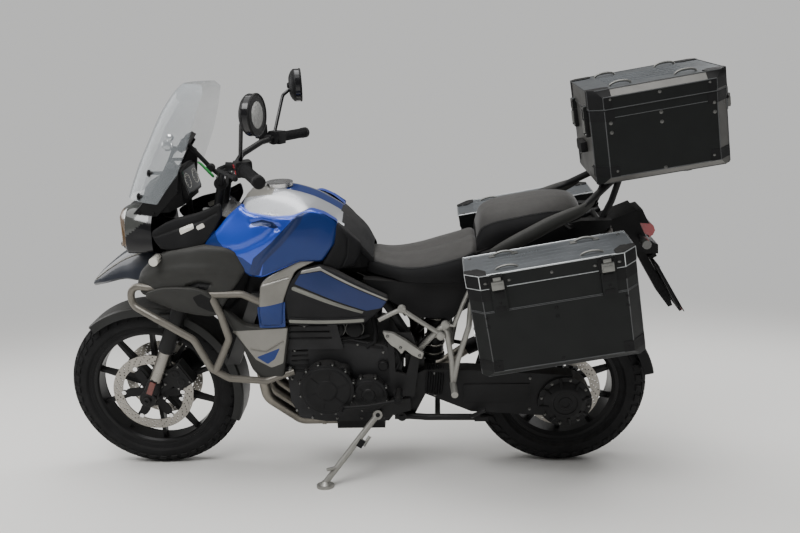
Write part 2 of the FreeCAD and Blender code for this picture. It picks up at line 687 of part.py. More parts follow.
def pillion_seat():
    return [skin([
        (453, [(0, 882), (120, 882), (132, 905), (100, 962), (0, 978)]),
        (482, [(0, 895), (132, 895), (146, 925), (108, 1000), (0, 1010)]),
        (610, [(0, 941), (138, 941), (150, 968), (114, 1030), (0, 1040)]),
        (740, [(0, 972), (132, 972), (146, 996), (110, 1044), (0, 1053)]),
        (806, [(0, 987), (112, 987), (122, 1004), (92, 1024), (0, 1032)])])]


def rear_rack():
    """Grab rails each side, and the plate under the top box."""
    pieces = []
    for side in (-1, 1):
        pieces.append(tube([(470, side * 132, 868), (500, side * 172, 890), (590, side * 184, 938),
                            (694, side * 186, 995), (800, side * 176, 1040),
                            (905, side * 104, 1112)], 12, 50))
        pieces.append(tube([(720, side * 184, 1006), (760, side * 150, 968), (775, side * 130, 966)], 9, 15))
        pieces.append(tube([(880, side * 90, 975), (910, side * 90, 1040), (930, side * 90, 1108)], 11, 40))
    bed = block(10, 330, -120, 120, -16, 0)
    for x in (60, 190):
        for y in (-90, 30):
            bed = bed.cut(block(x, x + 90, y, y + 60, -20, 4))
    pieces.append(tilted(bed, TOP_BOX_TILT, TOP_BOX_FRONT))
    return [fuse(pieces)]


def rear_mudguard():
    """Undertail, the strut and the blank number plate."""
    body = plate([(850, 938), (905, 962), (1000, 1000), (1016, 950), (1042, 896), (1082, 874),
                  (1084, 842), (1044, 842), (1000, 864), (860, 880)], -68, 68)
    strut = plate([(1000, 866), (1046, 846), (1066, 806), (1144, 676), (1160, 630), (1146, 624),
                   (1106, 678), (1044, 786)], -22, 22)
    tag = plate([(1072, 806), (1080, 810), (1172, 640), (1164, 636)], -95, 95)
    arm = rod(V(1018, -128, 905), V(1018, 128, 905), 8)
    return [fuse([body, strut, tag, arm])]


def tail_light():
    return [plate([(1002, 992), (1018, 950), (1034, 912), (1058, 902), (1050, 946), (1024, 998)], -55, 55)]


def indicators():
    """Four lamps: a pair beside the nose and a pair on the tail."""
    out = []
    for side in (-1, 1):
        front = rod(V(-628, side * 196, 906), V(-628, side * 250, 906), 15)
        rear = rod(V(1018, side * 118, 905), V(1018, side * 168, 905), 15)
        out += [front, rear]
    return out


# Rear end

def swingarm():
    """Single-sided arm with the shaft and final drive on the left, and the stub axle."""
    arm = plate([(236, 380), (264, 356), (430, 282), (700, 262), (790, 240), (790, 420), (690, 428),
                 (420, 446), (264, 448), (236, 436)], -154, -92)
    drive = rod(REAR_AXLE + V(0, -164, 0), REAR_AXLE + V(0, -86, 0), 96)
    cap = rod(REAR_AXLE + V(0, -176, 0), REAR_AXLE + V(0, -160, 0), 60)
    cross = rod(V(236, -150, 408), V(236, 98, 408), 28)
    axle = rod(REAR_AXLE + V(0, -100, 0), REAR_AXLE + V(0, 64, 0), REAR_AXLE_R)
    nut = rod(REAR_AXLE + V(0, 63, 0), REAR_AXLE + V(0, 80, 0), 36)
    socket = rod(REAR_AXLE + V(0, 80 - PADDOCK_BORE_DEPTH, 0), REAR_AXLE + V(0, 81, 0), PADDOCK_BORE_R)
    caliper = block(40, 100, -98, -58, 118, 160)
    slot = block(30, 110, -79, -62, 100, 152)
    grip = caliper.cut(slot)
    grip.translate(V(REAR_AXLE.x - 120, 0, REAR_AXLE.z - 25))
    return [fuse([arm, drive, cap, cross, axle, nut]).cut(socket)]


def rear_shock():
    lower = V(292, 0, 408)
    upper = V(330, 0, 716)
    eye = rod(V(264, 0, 408), lower, 14)
    spring = rod(lower + V(4, 0, 30), upper - V(4, 0, 30), 34)
    shaft = rod(lower, upper, 13)
    cross = rod(V(330, -68, 752), V(330, 68, 752), 8)
    stay = rod(upper, V(330, 0, 752), 10)
    return [fuse([eye, spring, shaft, stay, cross])]


def rear_hugger():
    shell = fender(REAR_AXLE, 335, 4, 82, 34, 12, 152)
    stay = block(600, 640, -98, -84, 425, 602)
    return [fuse([shell, stay])]


# Boxes

def side_box_shapes():
    """Left side box: body, lid, hinge and latches, in the motorcycle's frame."""
    high = SIDE_BOX_HIGH - SIDE_BOX_LID
    body = hollow_box(SIDE_BOX_LONG, SIDE_BOX_WIDE, high, BOX_EDGE, BOX_WALL, BOX_BEVEL)
    lid = box_prism(-2, SIDE_BOX_LONG + 2, -SIDE_BOX_WIDE - 2, 0, BOX_EDGE + 1, high + 0.5, SIDE_BOX_HIGH)
    inside = box_prism(1, SIDE_BOX_LONG - 1, -SIDE_BOX_WIDE + 1, -3, BOX_EDGE + 1, high - 1,
                       SIDE_BOX_HIGH - BOX_WALL)
    lid = lid.cut(inside)
    pin_z = high + 4
    pin_y = 7.0
    pieces = [body]
    knuckles = [lid]
    bores = []
    for x in (90.0, SIDE_BOX_LONG - 130.0):
        for lug in (x, x + 30):
            pieces.append(rod(V(lug, pin_y, pin_z), V(lug + 12, pin_y, pin_z), KNUCKLE_R))
            pieces.append(block(lug, lug + 12, pin_y - KNUCKLE_R, pin_y + KNUCKLE_R, high - 26, pin_z))
            pieces.append(block(lug, lug + 12, -1, pin_y, high - 26, high - 3))
        pieces.append(rod(V(x + 2, pin_y, pin_z), V(x + 40, pin_y, pin_z), LID_PIN_R))
        knuckles.append(rod(V(x + 13, pin_y, pin_z), V(x + 29, pin_y, pin_z), KNUCKLE_R))
        knuckles.append(block(x + 13, x + 29, -2, pin_y, pin_z - 2, pin_z + KNUCKLE_R))
        bores.append(rod(V(x + 10, pin_y, pin_z), V(x + 32, pin_y, pin_z), LID_PIN_R + RUNNING_FIT))
    for x in (70.0, SIDE_BOX_LONG - 115.0):
        pieces.append(block(x, x + 45, -SIDE_BOX_WIDE - 9, -SIDE_BOX_WIDE + 1, high - 78, high - 6))
    lid = fuse(knuckles)
    for bore in bores:
        lid = lid.cut(bore)
    body = fuse(pieces)
    out = []
    for shape in (body, lid):
        shape.translate(V(0, -SIDE_BOX_IN, -SIDE_BOX_HIGH))
        out.append(tilted(shape, SIDE_BOX_TILT, SIDE_BOX_FRONT))
    return out


def side_box_pin(side):
    """The lid's hinge line: a point and a direction."""
    t = math.radians(SIDE_BOX_TILT)
    z = 4.0 - SIDE_BOX_LID
    x = SIDE_BOX_LONG / 2
    point = V(SIDE_BOX_FRONT[0] + x * math.cos(t) - z * math.sin(t), side * (SIDE_BOX_IN - 7.0),
              SIDE_BOX_FRONT[1] + x * math.sin(t) + z * math.cos(t))
    return point, V(math.cos(t), 0, math.sin(t))


def top_prism(x0, x1, half, c, z0, z1):
    """A prism with all four upright edges chamfered, about the box's middle line."""
    pts = [(x0, c - half), (x0 + c, -half), (x1 - c, -half), (x1, c - half), (x1, half - c), (x1 - c, half),
           (x0 + c, half), (x0, half - c)]
    loop = [V(px, py, z0) for px, py in pts]
    return Part.Face(Part.makePolygon(loop + [loop[0]])).extrude(V(0, 0, z1 - z0))


def bevelled(shape, x0, x1, half, size, z, top):
    """Takes the bevels off both lengthwise edges at height z, along the top or the bottom."""
    for side in (-1, 1):
        wedge = bevel_wedge(x0, x1, -half, size, 0)
        if top:
            wedge = wedge.mirror(V(0, 0, 0), AXIS_Z)
        if side > 0:
            wedge = mirror(wedge)
        wedge.translate(V(0, 0, z))
        shape = shape.cut(wedge)
    return shape


def top_box_shapes():
    high = TOP_BOX_HIGH - TOP_BOX_LID
    long = TOP_BOX_LONG
    half = TOP_BOX_WIDE / 2
    wall = BOX_WALL
    body = bevelled(top_prism(0, long, half, BOX_EDGE, 0, high), 0, long, half, BOX_BEVEL, 0, False)
    space = top_prism(wall, long - wall, half - wall, BOX_EDGE - 1, wall, high + 1)
    body = body.cut(bevelled(space, 0, long, half - wall, BOX_BEVEL, wall, False))
    lid = top_prism(-2, long + 2, half + 2, BOX_EDGE + 1, high + 0.5, TOP_BOX_HIGH)
    lid = bevelled(lid, -2, long + 2, half + 2, BOX_BEVEL, TOP_BOX_HIGH, True)
    space = top_prism(1, long - 1, half - 1, BOX_EDGE, high - 1, TOP_BOX_HIGH - wall)
    lid = lid.cut(bevelled(space, 0, long, half - 1, BOX_BEVEL, TOP_BOX_HIGH - wall, True))
    pin_z = high + 4
    pin_x = -9.0
    pieces = [body]
    knuckles = [lid]
    bores = []
    for y in (-130.0, 90.0):
        for lug in (y, y + 30):
            pieces.append(rod(V(pin_x, lug, pin_z), V(pin_x, lug + 12, pin_z), KNUCKLE_R))
            pieces.append(block(pin_x - KNUCKLE_R, pin_x + KNUCKLE_R, lug, lug + 12, high - 26, pin_z))
            pieces.append(block(pin_x, 1, lug, lug + 12, high - 26, high - 3))
        pieces.append(rod(V(pin_x, y + 2, pin_z), V(pin_x, y + 40, pin_z), LID_PIN_R))
        knuckles.append(rod(V(pin_x, y + 13, pin_z), V(pin_x, y + 29, pin_z), KNUCKLE_R))
        knuckles.append(block(pin_x, 0, y + 13, y + 29, pin_z - 2, pin_z + KNUCKLE_R))
        bores.append(rod(V(pin_x, y + 10, pin_z), V(pin_x, y + 32, pin_z), LID_PIN_R + RUNNING_FIT))
        pieces.append(block(TOP_BOX_LONG - 1, TOP_BOX_LONG + 9, y, y + 42, high - 70, high - 6))
    lid = fuse(knuckles)
    for bore in bores:
        lid = lid.cut(bore)
    return [tilted(fuse(pieces), TOP_BOX_TILT, TOP_BOX_FRONT), tilted(lid, TOP_BOX_TILT, TOP_BOX_FRONT)]


def top_box_pin():
    t = math.radians(TOP_BOX_TILT)
    x = -9.0
    z = TOP_BOX_HIGH - TOP_BOX_LID + 4.0
    return V(TOP_BOX_FRONT[0] + x * math.cos(t) - z * math.sin(t), 0,
             TOP_BOX_FRONT[1] + x * math.sin(t) + z * math.cos(t))


# Stands

LEAN = math.radians(LEAN_DEG)


def side_foot():
    """The side stand's foot on the ground, in the upright frame."""
    return parked().inverse().multVec(V(SIDE_FOOT_XY[0], SIDE_FOOT_XY[1], 0))


def lowest(centre, tyre_r, crown):
    return centre.z * math.cos(LEAN) - (tyre_r - crown) * math.cos(LEAN) - crown


DROP_FRONT = lowest(FRONT_AXLE, FRONT_TYRE_R, FRONT_CROWN_R)
DROP_REAR = lowest(REAR_AXLE, REAR_TYRE_R, REAR_CROWN_R)
PITCH = math.atan2(DROP_FRONT - DROP_REAR, WHEELBASE)
GROUND_LIFT = (DROP_FRONT + DROP_REAR) / 2


def side_axis():
    """The side stand's pivot line: square to the leg both down and folded."""
    leg = (side_foot() - V(*SIDE_PIVOT)).normalize()
    away = V(0.25, -1.0, 0.30)
    axis = away - leg * away.dot(leg)
    return axis.normalize()


def side_stand():
    """Leg down and forward to a foot that lies flat on the ground, with the eye on its pivot."""
    pivot = V(*SIDE_PIVOT)
    foot = side_foot()
    axis = side_axis()
    up = parked().inverse().Rotation.multVec(AXIS_Z)
    ankle = foot + up * 16
    eye = rod(pivot - axis * 8, pivot + axis * 8, 17)
    leg = rod(pivot, ankle, 11)
    shoe = Part.makeCylinder(31, 10, foot, up)
    neck = Part.makeCone(24, 12, 14, foot + up * 8, up)
    tang = rod(foot + (pivot - foot) * 0.28, foot + (pivot - foot) * 0.28 + V(-44, -26, 4), 6)
    shape = fuse([eye, leg, shoe, neck, tang])
    below = Part.makeCylinder(60, 40, foot - up * 40, up)
    return [shape.cut(below).cut(rod(pivot - axis * 30, pivot + axis * 30, STAND_PIN_R + RUNNING_FIT))]


def side_stand_pin():
    pivot = V(*SIDE_PIVOT)
    axis = side_axis()
    pin = rod(pivot - axis * 34, pivot + axis * 8.5, STAND_PIN_R)
    return fuse([pin, rod(pivot - axis * 40, pivot - axis * 13.5, 15)])


def centre_stand():
    """Two legs folded back under the swingarm, joined by a brace, with a foot tang on the left."""
    px, pz = CENTRE_PIVOT
    fx, fz = CENTRE_FEET
    pieces = []
    for side in (-1, 1):
        y = side * CENTRE_LEG_Y
        pieces.append(rod(V(px, y - 13, pz), V(px, y + 13, pz), 17))
        pieces.append(tube([(px, y, pz), (px + 90, y, pz - 8), (fx, y, fz)], 12, 60))
        pieces.append(block(fx - 20, fx + 30, y - 14, y + 14, fz - 11, fz + 5))
    pieces.append(rod(V(px + 130, -CENTRE_LEG_Y, pz - 8), V(px + 130, CENTRE_LEG_Y, pz - 8), 10))
    pieces.append(tube([(fx - 30, -CENTRE_LEG_Y, fz + 1), (fx - 26, -178, fz + 26),
                        (fx + 18, -184, fz + 50)], 7, 12))
    shape = fuse(pieces)
    return [shape.cut(rod(V(px, -200, pz), V(px, 200, pz), STAND_PIN_R + RUNNING_FIT))]


# Assembly

BODIES = {
    "steering_assembly": ("front_fork", "handlebar", "hand_controls", "mirrors", "device_holder",
                          "front_mudguard", "front_calipers"),
    "front_wheel": ("front_tyre", "front_rim", "front_discs"),
    "rear_wheel": ("rear_tyre", "rear_rim", "rear_disc"),
    "top_lid_body": ("top_box_lid",),
    "left_lid_body": ("left_box_lid",),
    "right_lid_body": ("right_box_lid",),
    "cap_body": ("fuel_cap",),
    "side_stand_body": ("side_stand",),
    "centre_stand_body": ("centre_stand",),
}

# Where pieces of one body meet, the first gives way to the others.
GIVES_WAY = (
    ("handlebar", "front_fork"),
    ("hand_controls", "handlebar"),
    ("mirrors", "hand_controls", "handlebar"),
    ("device_holder", "handlebar"),
    ("front_mudguard", "front_fork"),
    ("front_calipers", "front_fork"),
    ("front_rim", "front_tyre"),
    ("rear_rim", "rear_tyre", "rear_disc"),
    ("main_frame", "engine", "swingarm", "fuel_tank"),
    ("radiator", "main_frame", "engine", "exhaust_headers"),
    ("exhaust_headers", "engine"),
    ("subframe", "main_frame", "rear_shock"),
    ("footpeg_hangers", "main_frame", "subframe", "tail_panels"),
    ("crash_bars", "engine", "radiator"),
    ("front_cowls", "tank_sides", "crash_bars", "radiator", "engine", "fuel_tank"),
    ("infill_panels", "tank_sides", "front_cowls", "side_covers", "radiator", "crash_bars"),
    ("side_covers", "tank_sides", "engine"),
    ("tank_top_cover", "fuel_tank", "tank_sides", "rider_seat"),
    ("fuel_tank", "rider_seat"),
    ("tail_panels", "rider_seat", "pillion_seat", "subframe", "main_frame", "tank_sides", "fuel_tank"),
    ("pillion_seat", "rider_seat"),
    ("rear_rack", "pillion_seat", "tail_panels", "subframe"),
    ("rear_mudguard", "subframe", "tail_panels", "rear_rack"),
    ("tail_light", "rear_mudguard"),
    ("indicators", "rear_mudguard", "front_cowls"),
    ("headlight", "headlight_lens", "nose_stay"),
    ("beak", "front_cowls", "headlight"),
    ("instrument_panel", "headlight", "nose_stay"),
    ("windscreen", "headlight", "instrument_panel"),
    ("nose_stay", "main_frame", "front_cowls"),
    ("silencer", "exhaust_headers", "footpeg_hangers"),
    ("rear_hugger", "swingarm"),
    ("rear_shock", "swingarm", "main_frame", "subframe"),
)


def build():
    left_body, left_lid = side_box_shapes()
    top_body, top_lid = top_box_shapes()
    pieces = dict(wheels())
    pieces.update({
        "front_fork": front_fork(),
        "handlebar": handlebar(),
        "hand_controls": hand_controls(),
        "mirrors": mirrors(),
        "device_holder": device_holder(),
        "front_mudguard": front_mudguard(),
        "front_calipers": front_calipers(),
        "main_frame": [fuse(main_frame() + [side_stand_pin()])],
        "nose_stay": [nose_frame()],
        "engine": engine(),
        "radiator": radiator(),
        "exhaust_headers": exhaust_headers(),
        "silencer": silencer(),
        "subframe": subframe(),
        "footpeg_hangers": footpeg_hangers(),
        "crash_bars": crash_bars(),
        "fuel_tank": fuel_tank(),
        "tank_sides": tank_sides(),
        "tank_top_cover": tank_top_cover(),
        "fuel_cap": fuel_cap(),
        "front_cowls": front_cowls(),
        "infill_panels": infill_panels(),
        "side_covers": side_covers(),
        "tail_panels": tail_panels(),
        "beak": beak(),
        "headlight": headlight(),
        "headlight_lens": headlight_lens(),
        "windscreen": windscreen(),
        "instrument_panel": instrument_panel(),
        "rider_seat": rider_seat(),
        "pillion_seat": pillion_seat(),
        "rear_rack": rear_rack(),
        "rear_mudguard": rear_mudguard(),
        "tail_light": tail_light(),
        "indicators": indicators(),
        "swingarm": swingarm(),
        "rear_shock": rear_shock(),
        "rear_hugger": rear_hugger(),
        "left_side_box": [left_body],
        "left_box_lid": [left_lid],
        "right_side_box": [mirror(left_body)],
        "right_box_lid": [mirror(left_lid)],
        "top_box": [top_body],
        "top_box_lid": [top_lid],
        "side_stand": side_stand(),
        "centre_stand": centre_stand(),
    })
    shapes = {name: Part.Compound(group) if len(group) > 1 else group[0] for name, group in pieces.items()}
    for row in GIVES_WAY:
        for cutter in row[1:]:
            shapes[row[0]] = shapes[row[0]].cut(shapes[cutter])
    return shapes


def parked():
    """The placement that leans the upright motorcycle onto its side stand, wheels on the ground."""
    lift = FreeCAD.Placement(V(0, 0, -GROUND_LIFT), FreeCAD.Rotation())
    pitch = FreeCAD.Placement(V(0, 0, 0), FreeCAD.Rotation(AXIS_Y, -math.degrees(PITCH)))
    lean = FreeCAD.Placement(V(0, 0, 0), FreeCAD.Rotation(AXIS_X, LEAN_DEG))
    return lift.multiply(pitch).multiply(lean)


def place(shapes):
    """Moves every piece to the parked pose and centres the whole on the origin, standing on z = 0."""
    stand = parked()
    for shape in shapes.values():
        shape.Placement = stand.multiply(shape.Placement)
    boxes = [s.optimalBoundingBox() for s in shapes.values()]
    cx = (min(b.XMin for b in boxes) + max(b.XMax for b in boxes)) / 2
    cy = (min(b.YMin for b in boxes) + max(b.YMax for b in boxes)) / 2
    low = min(b.ZMin for b in boxes)
    shift = FreeCAD.Placement(V(-cx, -cy, -low), FreeCAD.Rotation())
    for shape in shapes.values():
        shape.Placement = shift.multiply(shape.Placement)
    return shift.multiply(stand)


SHAPES = build()
WORLD = place(SHAPES)

os.makedirs("parts", exist_ok=True)
for name, shape in SHAPES.items():
    shape.exportStep("parts/%s.step" % name)
print("pieces", len(SHAPES))
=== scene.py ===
import json
from math import atan2, copysign, cos, pi, radians, sin

import bmesh
import bpy
import numpy as np
from mathutils import Matrix, Vector
from mathutils.geometry import delaunay_2d_cdt


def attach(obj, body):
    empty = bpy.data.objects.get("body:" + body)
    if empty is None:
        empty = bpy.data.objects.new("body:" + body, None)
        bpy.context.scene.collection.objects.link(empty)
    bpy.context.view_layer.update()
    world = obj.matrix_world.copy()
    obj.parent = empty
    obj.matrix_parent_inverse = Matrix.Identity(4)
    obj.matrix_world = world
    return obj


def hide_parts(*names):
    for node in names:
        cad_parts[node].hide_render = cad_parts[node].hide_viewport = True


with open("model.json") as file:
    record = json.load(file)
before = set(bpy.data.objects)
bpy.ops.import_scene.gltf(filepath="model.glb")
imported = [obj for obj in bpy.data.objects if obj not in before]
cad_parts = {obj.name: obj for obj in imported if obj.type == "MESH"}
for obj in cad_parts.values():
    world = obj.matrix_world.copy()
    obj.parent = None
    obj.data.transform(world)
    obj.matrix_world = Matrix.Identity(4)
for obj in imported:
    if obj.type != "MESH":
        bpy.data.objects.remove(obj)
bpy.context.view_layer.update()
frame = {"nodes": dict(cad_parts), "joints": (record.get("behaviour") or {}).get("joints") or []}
NODES = frame["nodes"]
JOINTS = {j["name"]: j for j in frame["joints"]}
COLLECTION = bpy.context.scene.collection
SIDES = (-1, 1)


def V(*xyz):
    return Vector(xyz)


# The motorcycle's own upright frame in millimetres: -X forward, -Y its left, +Z up, from the wheels' axles.
FRONT = V(-765.0, 0.0, 329.3)
REAR = V(765.0, 0.0, 321.0)
FRONT_R, REAR_R = 329.3, 321.0
RAKE = radians(23.9)
X_DIR, Y_DIR, Z_DIR = V(1, 0, 0), V(0, 1, 0), V(0, 0, 1)


def upright_frame():
    front = Vector(JOINTS["front_wheel_spin"]["pos_m"])
    across = Vector(JOINTS["front_wheel_spin"]["axis"]).normalized()
    line = (Vector(JOINTS["rear_wheel_spin"]["pos_m"]) - front).normalized()
    up = line.cross(across)
    dip = atan2(FRONT.z - REAR.z, REAR.x - FRONT.x)
    ex = line * cos(dip) + up * sin(dip)
    ez = up * cos(dip) - line * sin(dip)
    turn = Matrix((ex, across, ez)).transposed()
    return turn, front - turn @ (FRONT * 0.001)


TURN, ORIGIN = upright_frame()
TO_ROW = Matrix.Translation(ORIGIN) @ TURN.to_4x4() @ Matrix.Scale(0.001, 4)


# Materials

class Tree:
    """A node tree of a material or world, with short calls to add nodes; a socket given as a value is linked."""

    def __init__(self, owner):
        owner.use_nodes = True
        self.tree = owner.node_tree

    def put(self, socket, value):
        if isinstance(value, bpy.types.NodeSocket):
            self.tree.links.new(value, socket)
        else:
            socket.default_value = value

    def fill(self, node, values):
        for key, value in values.items():
            self.put(self.tree.nodes[node].inputs[key], value)
        return self.tree.nodes[node].outputs

    def add(self, kind, values, **settings):
        node = self.tree.nodes.new("ShaderNode" + kind)
        for key, value in settings.items():
            setattr(node, key, value)
        return self.fill(node.name, values)

    def noise(self, where, scale, detail, **more):
        return self.add("TexNoise", {"Vector": where, "Scale": scale, "Detail": detail, **more})["Fac"]

    def span(self, value, low, high, to_low, to_high, **settings):
        return self.add("MapRange", {"Value": value, "From Min": low, "From Max": high, "To Min": to_low,
                                     "To Max": to_high}, **settings)["Result"]

    def math(self, operation, *values):
        return self.add("Math", dict(enumerate(values)), operation=operation)[0]

    def mix(self, share, under, over):
        return self.add("Mix", {0: share, 6: under, 7: over}, data_type="RGBA")[2]


DUST = (0.33, 0.31, 0.28, 1)


def material(name, colour, rough, metal=0.0, coat=0.0, coat_rough=0.05, mottle=0.1, mottle_scale=14.0, grain=0.0,
             grain_scale=400.0, rough_var=0.0, dust=0.0, flake=0.0, sheen=0.0, brushed=None, ior=1.5, shine=0.5):
    """A painted, moulded or bare surface. mottle varies its shade and rough_var its gloss, grain is fine bump,
    flake bright specks, dust settles on faces that look up, and shine is the specular level."""
    m = bpy.data.materials.new(name)
    t = Tree(m)
    base = (*colour, 1)
    where = t.add("TexCoord", {})["Object"]
    cloud = t.noise(where, mottle_scale, 6.0, Roughness=0.6)
    shade = t.math("ADD", t.span(cloud, 0.35, 0.65, -mottle, mottle), 1.0)
    source = t.add("HueSaturation", {"Color": base, "Value": shade})["Color"]
    if flake:
        speck = t.add("TexVoronoi", {"Vector": where, "Scale": 1400.0})["Distance"]
        bright = tuple(min(1.0, c * 1.7 + 0.02) for c in colour)
        source = t.mix(t.math("MULTIPLY", speck, flake), source, (*bright, 1))
    if dust:
        normal = t.add("NewGeometry", {})["Normal"]
        up = t.span(t.add("SeparateXYZ", {0: normal})["Z"], 0.2, 1.0, 0.0, 1.0)
        grit = t.math("MULTIPLY", up, t.noise(where, 60.0, 8.0))
        source = t.mix(t.math("MULTIPLY", grit, dust), source, DUST)
    t.fill("Principled BSDF", {
        "Roughness": rough, "Metallic": metal, "Coat Weight": coat, "Coat Roughness": coat_rough, "IOR": ior,
        "Specular IOR Level": shine, "Sheen Weight": sheen})
    t.tree.nodes["Principled BSDF"].inputs["Base Color"].default_value = base
    t.fill("Principled BSDF", {"Base Color": source})
    if rough_var:
        smear = t.noise(where, 9.0, 7.0)
        t.fill("Principled BSDF", {"Roughness": t.span(smear, 0.3, 0.7, max(0.02, rough - rough_var),
                                                       min(1.0, rough + rough_var))})
    if grain:
        vector = t.add("Mapping", {"Vector": where, "Scale": brushed})["Vector"] if brushed else where
        bump = t.add("Bump", {"Height": t.noise(vector, grain_scale, 3.0), "Strength": grain, "Distance": 0.0006})
        t.fill("Principled BSDF", {"Normal": bump["Normal"]})
    return m


def clear(name, tint, rough, alpha):
    """A clear sheet: mostly see-through, with gloss at grazing angles."""
    m = bpy.data.materials.new(name)
    t = Tree(m)
    haze = t.noise(t.add("TexCoord", {})["Object"], 12.0, 6.0)
    edge = t.add("LayerWeight", {"Blend": 0.35})["Facing"]
    solid = t.span(edge, 0.0, 1.0, alpha, min(1.0, alpha + 0.55))
    t.fill("Principled BSDF", {"Base Color": (*tint, 1), "Roughness": rough, "IOR": 1.49,
                               "Alpha": t.math("MULTIPLY_ADD", haze, 0.10, solid)})
    return m


BLUE = material("blue_paint", (0.003, 0.045, 0.4), 0.32, metal=0.35, coat=1.0, coat_rough=0.04, mottle=0.05,
    mottle_scale=3.0, flake=0.5, rough_var=0.05)
# Deep blue paint; on the tank side it also fills the vent slot as painted shade.
DEEP_BLUE_AND_SLOT_SHADE = material("deep_blue_paint_and_slot_shade", (0.004, 0.016, 0.08), 0.35, metal=0.3, coat=0.3, coat_rough=0.08,
    mottle=0.06, flake=0.35, rough_var=0.06, shine=0.3)
NIGHT = material("black_blue_paint", (0.008, 0.011, 0.02), 0.34, coat=0.45, coat_rough=0.05, rough_var=0.05)
SILVER = material("silver_paint", (0.4, 0.41, 0.43), 0.3, metal=0.55, coat=0.9, coat_rough=0.06, mottle=0.04,
    flake=0.3, rough_var=0.05)
SILVER_GREY = material("silver_grey_paint", (0.185, 0.178, 0.16), 0.42, metal=0.4, coat=0.4, coat_rough=0.15,
    mottle=0.06, flake=0.3, rough_var=0.06, shine=0.3)
COWL = material("grey_moulding", (0.03, 0.03, 0.028), 0.52, grain=0.25, grain_scale=900.0, rough_var=0.08,
    dust=0.12, shine=0.22)
BLACK = material("black_plastic", (0.0075, 0.0075, 0.008), 0.55, mottle=0.15, grain=0.35, grain_scale=1100.0,
    rough_var=0.1, dust=0.06, shine=0.16)
GLOSS_BLACK = material("gloss_black", (0.005, 0.005, 0.006), 0.18, coat=0.35, rough_var=0.05, shine=0.3)
PAD = material("knee_pad", (0.013, 0.013, 0.014), 0.68, grain=0.6, grain_scale=700.0, rough_var=0.08, dust=0.1,
    shine=0.18)
FRAME_BLACK = material("frame_coat", (0.009, 0.009, 0.0095), 0.42, metal=0.1, mottle=0.12, grain=0.15,
    grain_scale=500.0, rough_var=0.1, dust=0.08, shine=0.22)
ENGINE = material("engine_coat", (0.02, 0.02, 0.021), 0.5, metal=0.35, mottle=0.14, grain=0.5,
    grain_scale=260.0, rough_var=0.1, dust=0.12, shine=0.25)
ENGINE_DARK = material("engine_dark", (0.0105, 0.0105, 0.011), 0.46, metal=0.3, mottle=0.12, grain=0.4,
    grain_scale=300.0, rough_var=0.1, dust=0.1, shine=0.22)
CAST = material("cast_alloy", (0.2, 0.19, 0.18), 0.46, metal=0.85, mottle=0.12, grain=0.5, grain_scale=300.0,
    rough_var=0.1)
TUBE_GREY = material("crash_bar_coat", (0.165, 0.153, 0.132), 0.4, metal=0.45, mottle=0.08, grain=0.15,
    grain_scale=450.0, rough_var=0.1, dust=0.1, shine=0.35)
POLISHED = material("polished_alloy", (0.66, 0.66, 0.66), 0.24, metal=1.0, mottle=0.05, grain=0.12,
    grain_scale=200.0, brushed=(1.0, 1.0, 9.0), rough_var=0.08)
CHROME = material("chrome", (0.8, 0.8, 0.8), 0.1, metal=1.0, mottle=0.03, rough_var=0.05)
STEEL = material("disc_steel", (0.3, 0.285, 0.26), 0.3, metal=1.0, mottle=0.08, grain=0.2, grain_scale=180.0,
    rough_var=0.1)
HEADER = material("header_steel", (0.2, 0.185, 0.16), 0.38, metal=0.95, mottle=0.3, mottle_scale=9.0,
    grain=0.25, grain_scale=240.0, rough_var=0.12)
WHEEL = material("wheel_coat", (0.0085, 0.0085, 0.009), 0.36, metal=0.2, mottle=0.12, grain=0.12,
    grain_scale=500.0, rough_var=0.08, dust=0.06, shine=0.22)
RUBBER = material("tyre_rubber", (0.012, 0.012, 0.0125), 0.78, mottle=0.16, mottle_scale=22.0, grain=0.5,
    grain_scale=600.0, rough_var=0.08, dust=0.1, shine=0.15)
GRIP = material("grip_rubber", (0.009, 0.009, 0.0095), 0.72, mottle=0.12, grain=0.5, grain_scale=900.0,
    shine=0.15)
VINYL = material("seat_vinyl", (0.021, 0.02, 0.019), 0.58, mottle=0.08, grain=0.8, grain_scale=620.0,
    rough_var=0.07, dust=0.12, sheen=0.15, shine=0.22)
VINYL_SIDE = material("seat_vinyl_side", (0.008, 0.008, 0.0085), 0.66, mottle=0.08, grain=1.0,
    grain_scale=420.0, rough_var=0.06, shine=0.15)
THREAD = material("seat_thread", (0.09, 0.09, 0.09), 0.8, mottle=0.2, mottle_scale=300.0)
BOX = material("box_coat", (0.0085, 0.0095, 0.0095), 0.44, metal=0.25, mottle=0.08, grain=0.35,
    grain_scale=800.0, rough_var=0.07, dust=0.08, shine=0.22)
LID = material("lid_coat", (0.115, 0.125, 0.135), 0.36, metal=0.55, mottle=0.08, grain=0.25, grain_scale=700.0,
    rough_var=0.1, dust=0.1)
TRIM = material("bright_trim", (0.52, 0.54, 0.55), 0.3, metal=0.9, mottle=0.05, rough_var=0.08)
LATCH = material("latch_metal", (0.2, 0.2, 0.19), 0.42, metal=0.8, grain=0.2, rough_var=0.1)
RED = material("red_lens", (0.3, 0.008, 0.016), 0.18, coat=0.8, mottle=0.06, ior=1.49)
PALE_LENS = material("pale_lens", (0.62, 0.6, 0.54), 0.2, coat=0.7, mottle=0.05)
SATIN = material("satin_metal", (0.27, 0.265, 0.245), 0.42, metal=0.55, mottle=0.08, grain=0.15, rough_var=0.08)
BOLT = material("bolt_steel", (0.13, 0.13, 0.125), 0.38, metal=0.9, mottle=0.12, rough_var=0.08)
STRIPE = material("dull_stripe", (0.165, 0.165, 0.145), 0.45, metal=0.2, coat=0.3, mottle=0.06, rough_var=0.06)
DULL_RED = material("side_reflector", (0.13, 0.022, 0.014), 0.3, coat=0.5, mottle=0.08)
SMOKED = material("lamp_side_glass", (0.05, 0.052, 0.048), 0.12, coat=1.0, mottle=0.12, rough_var=0.05)
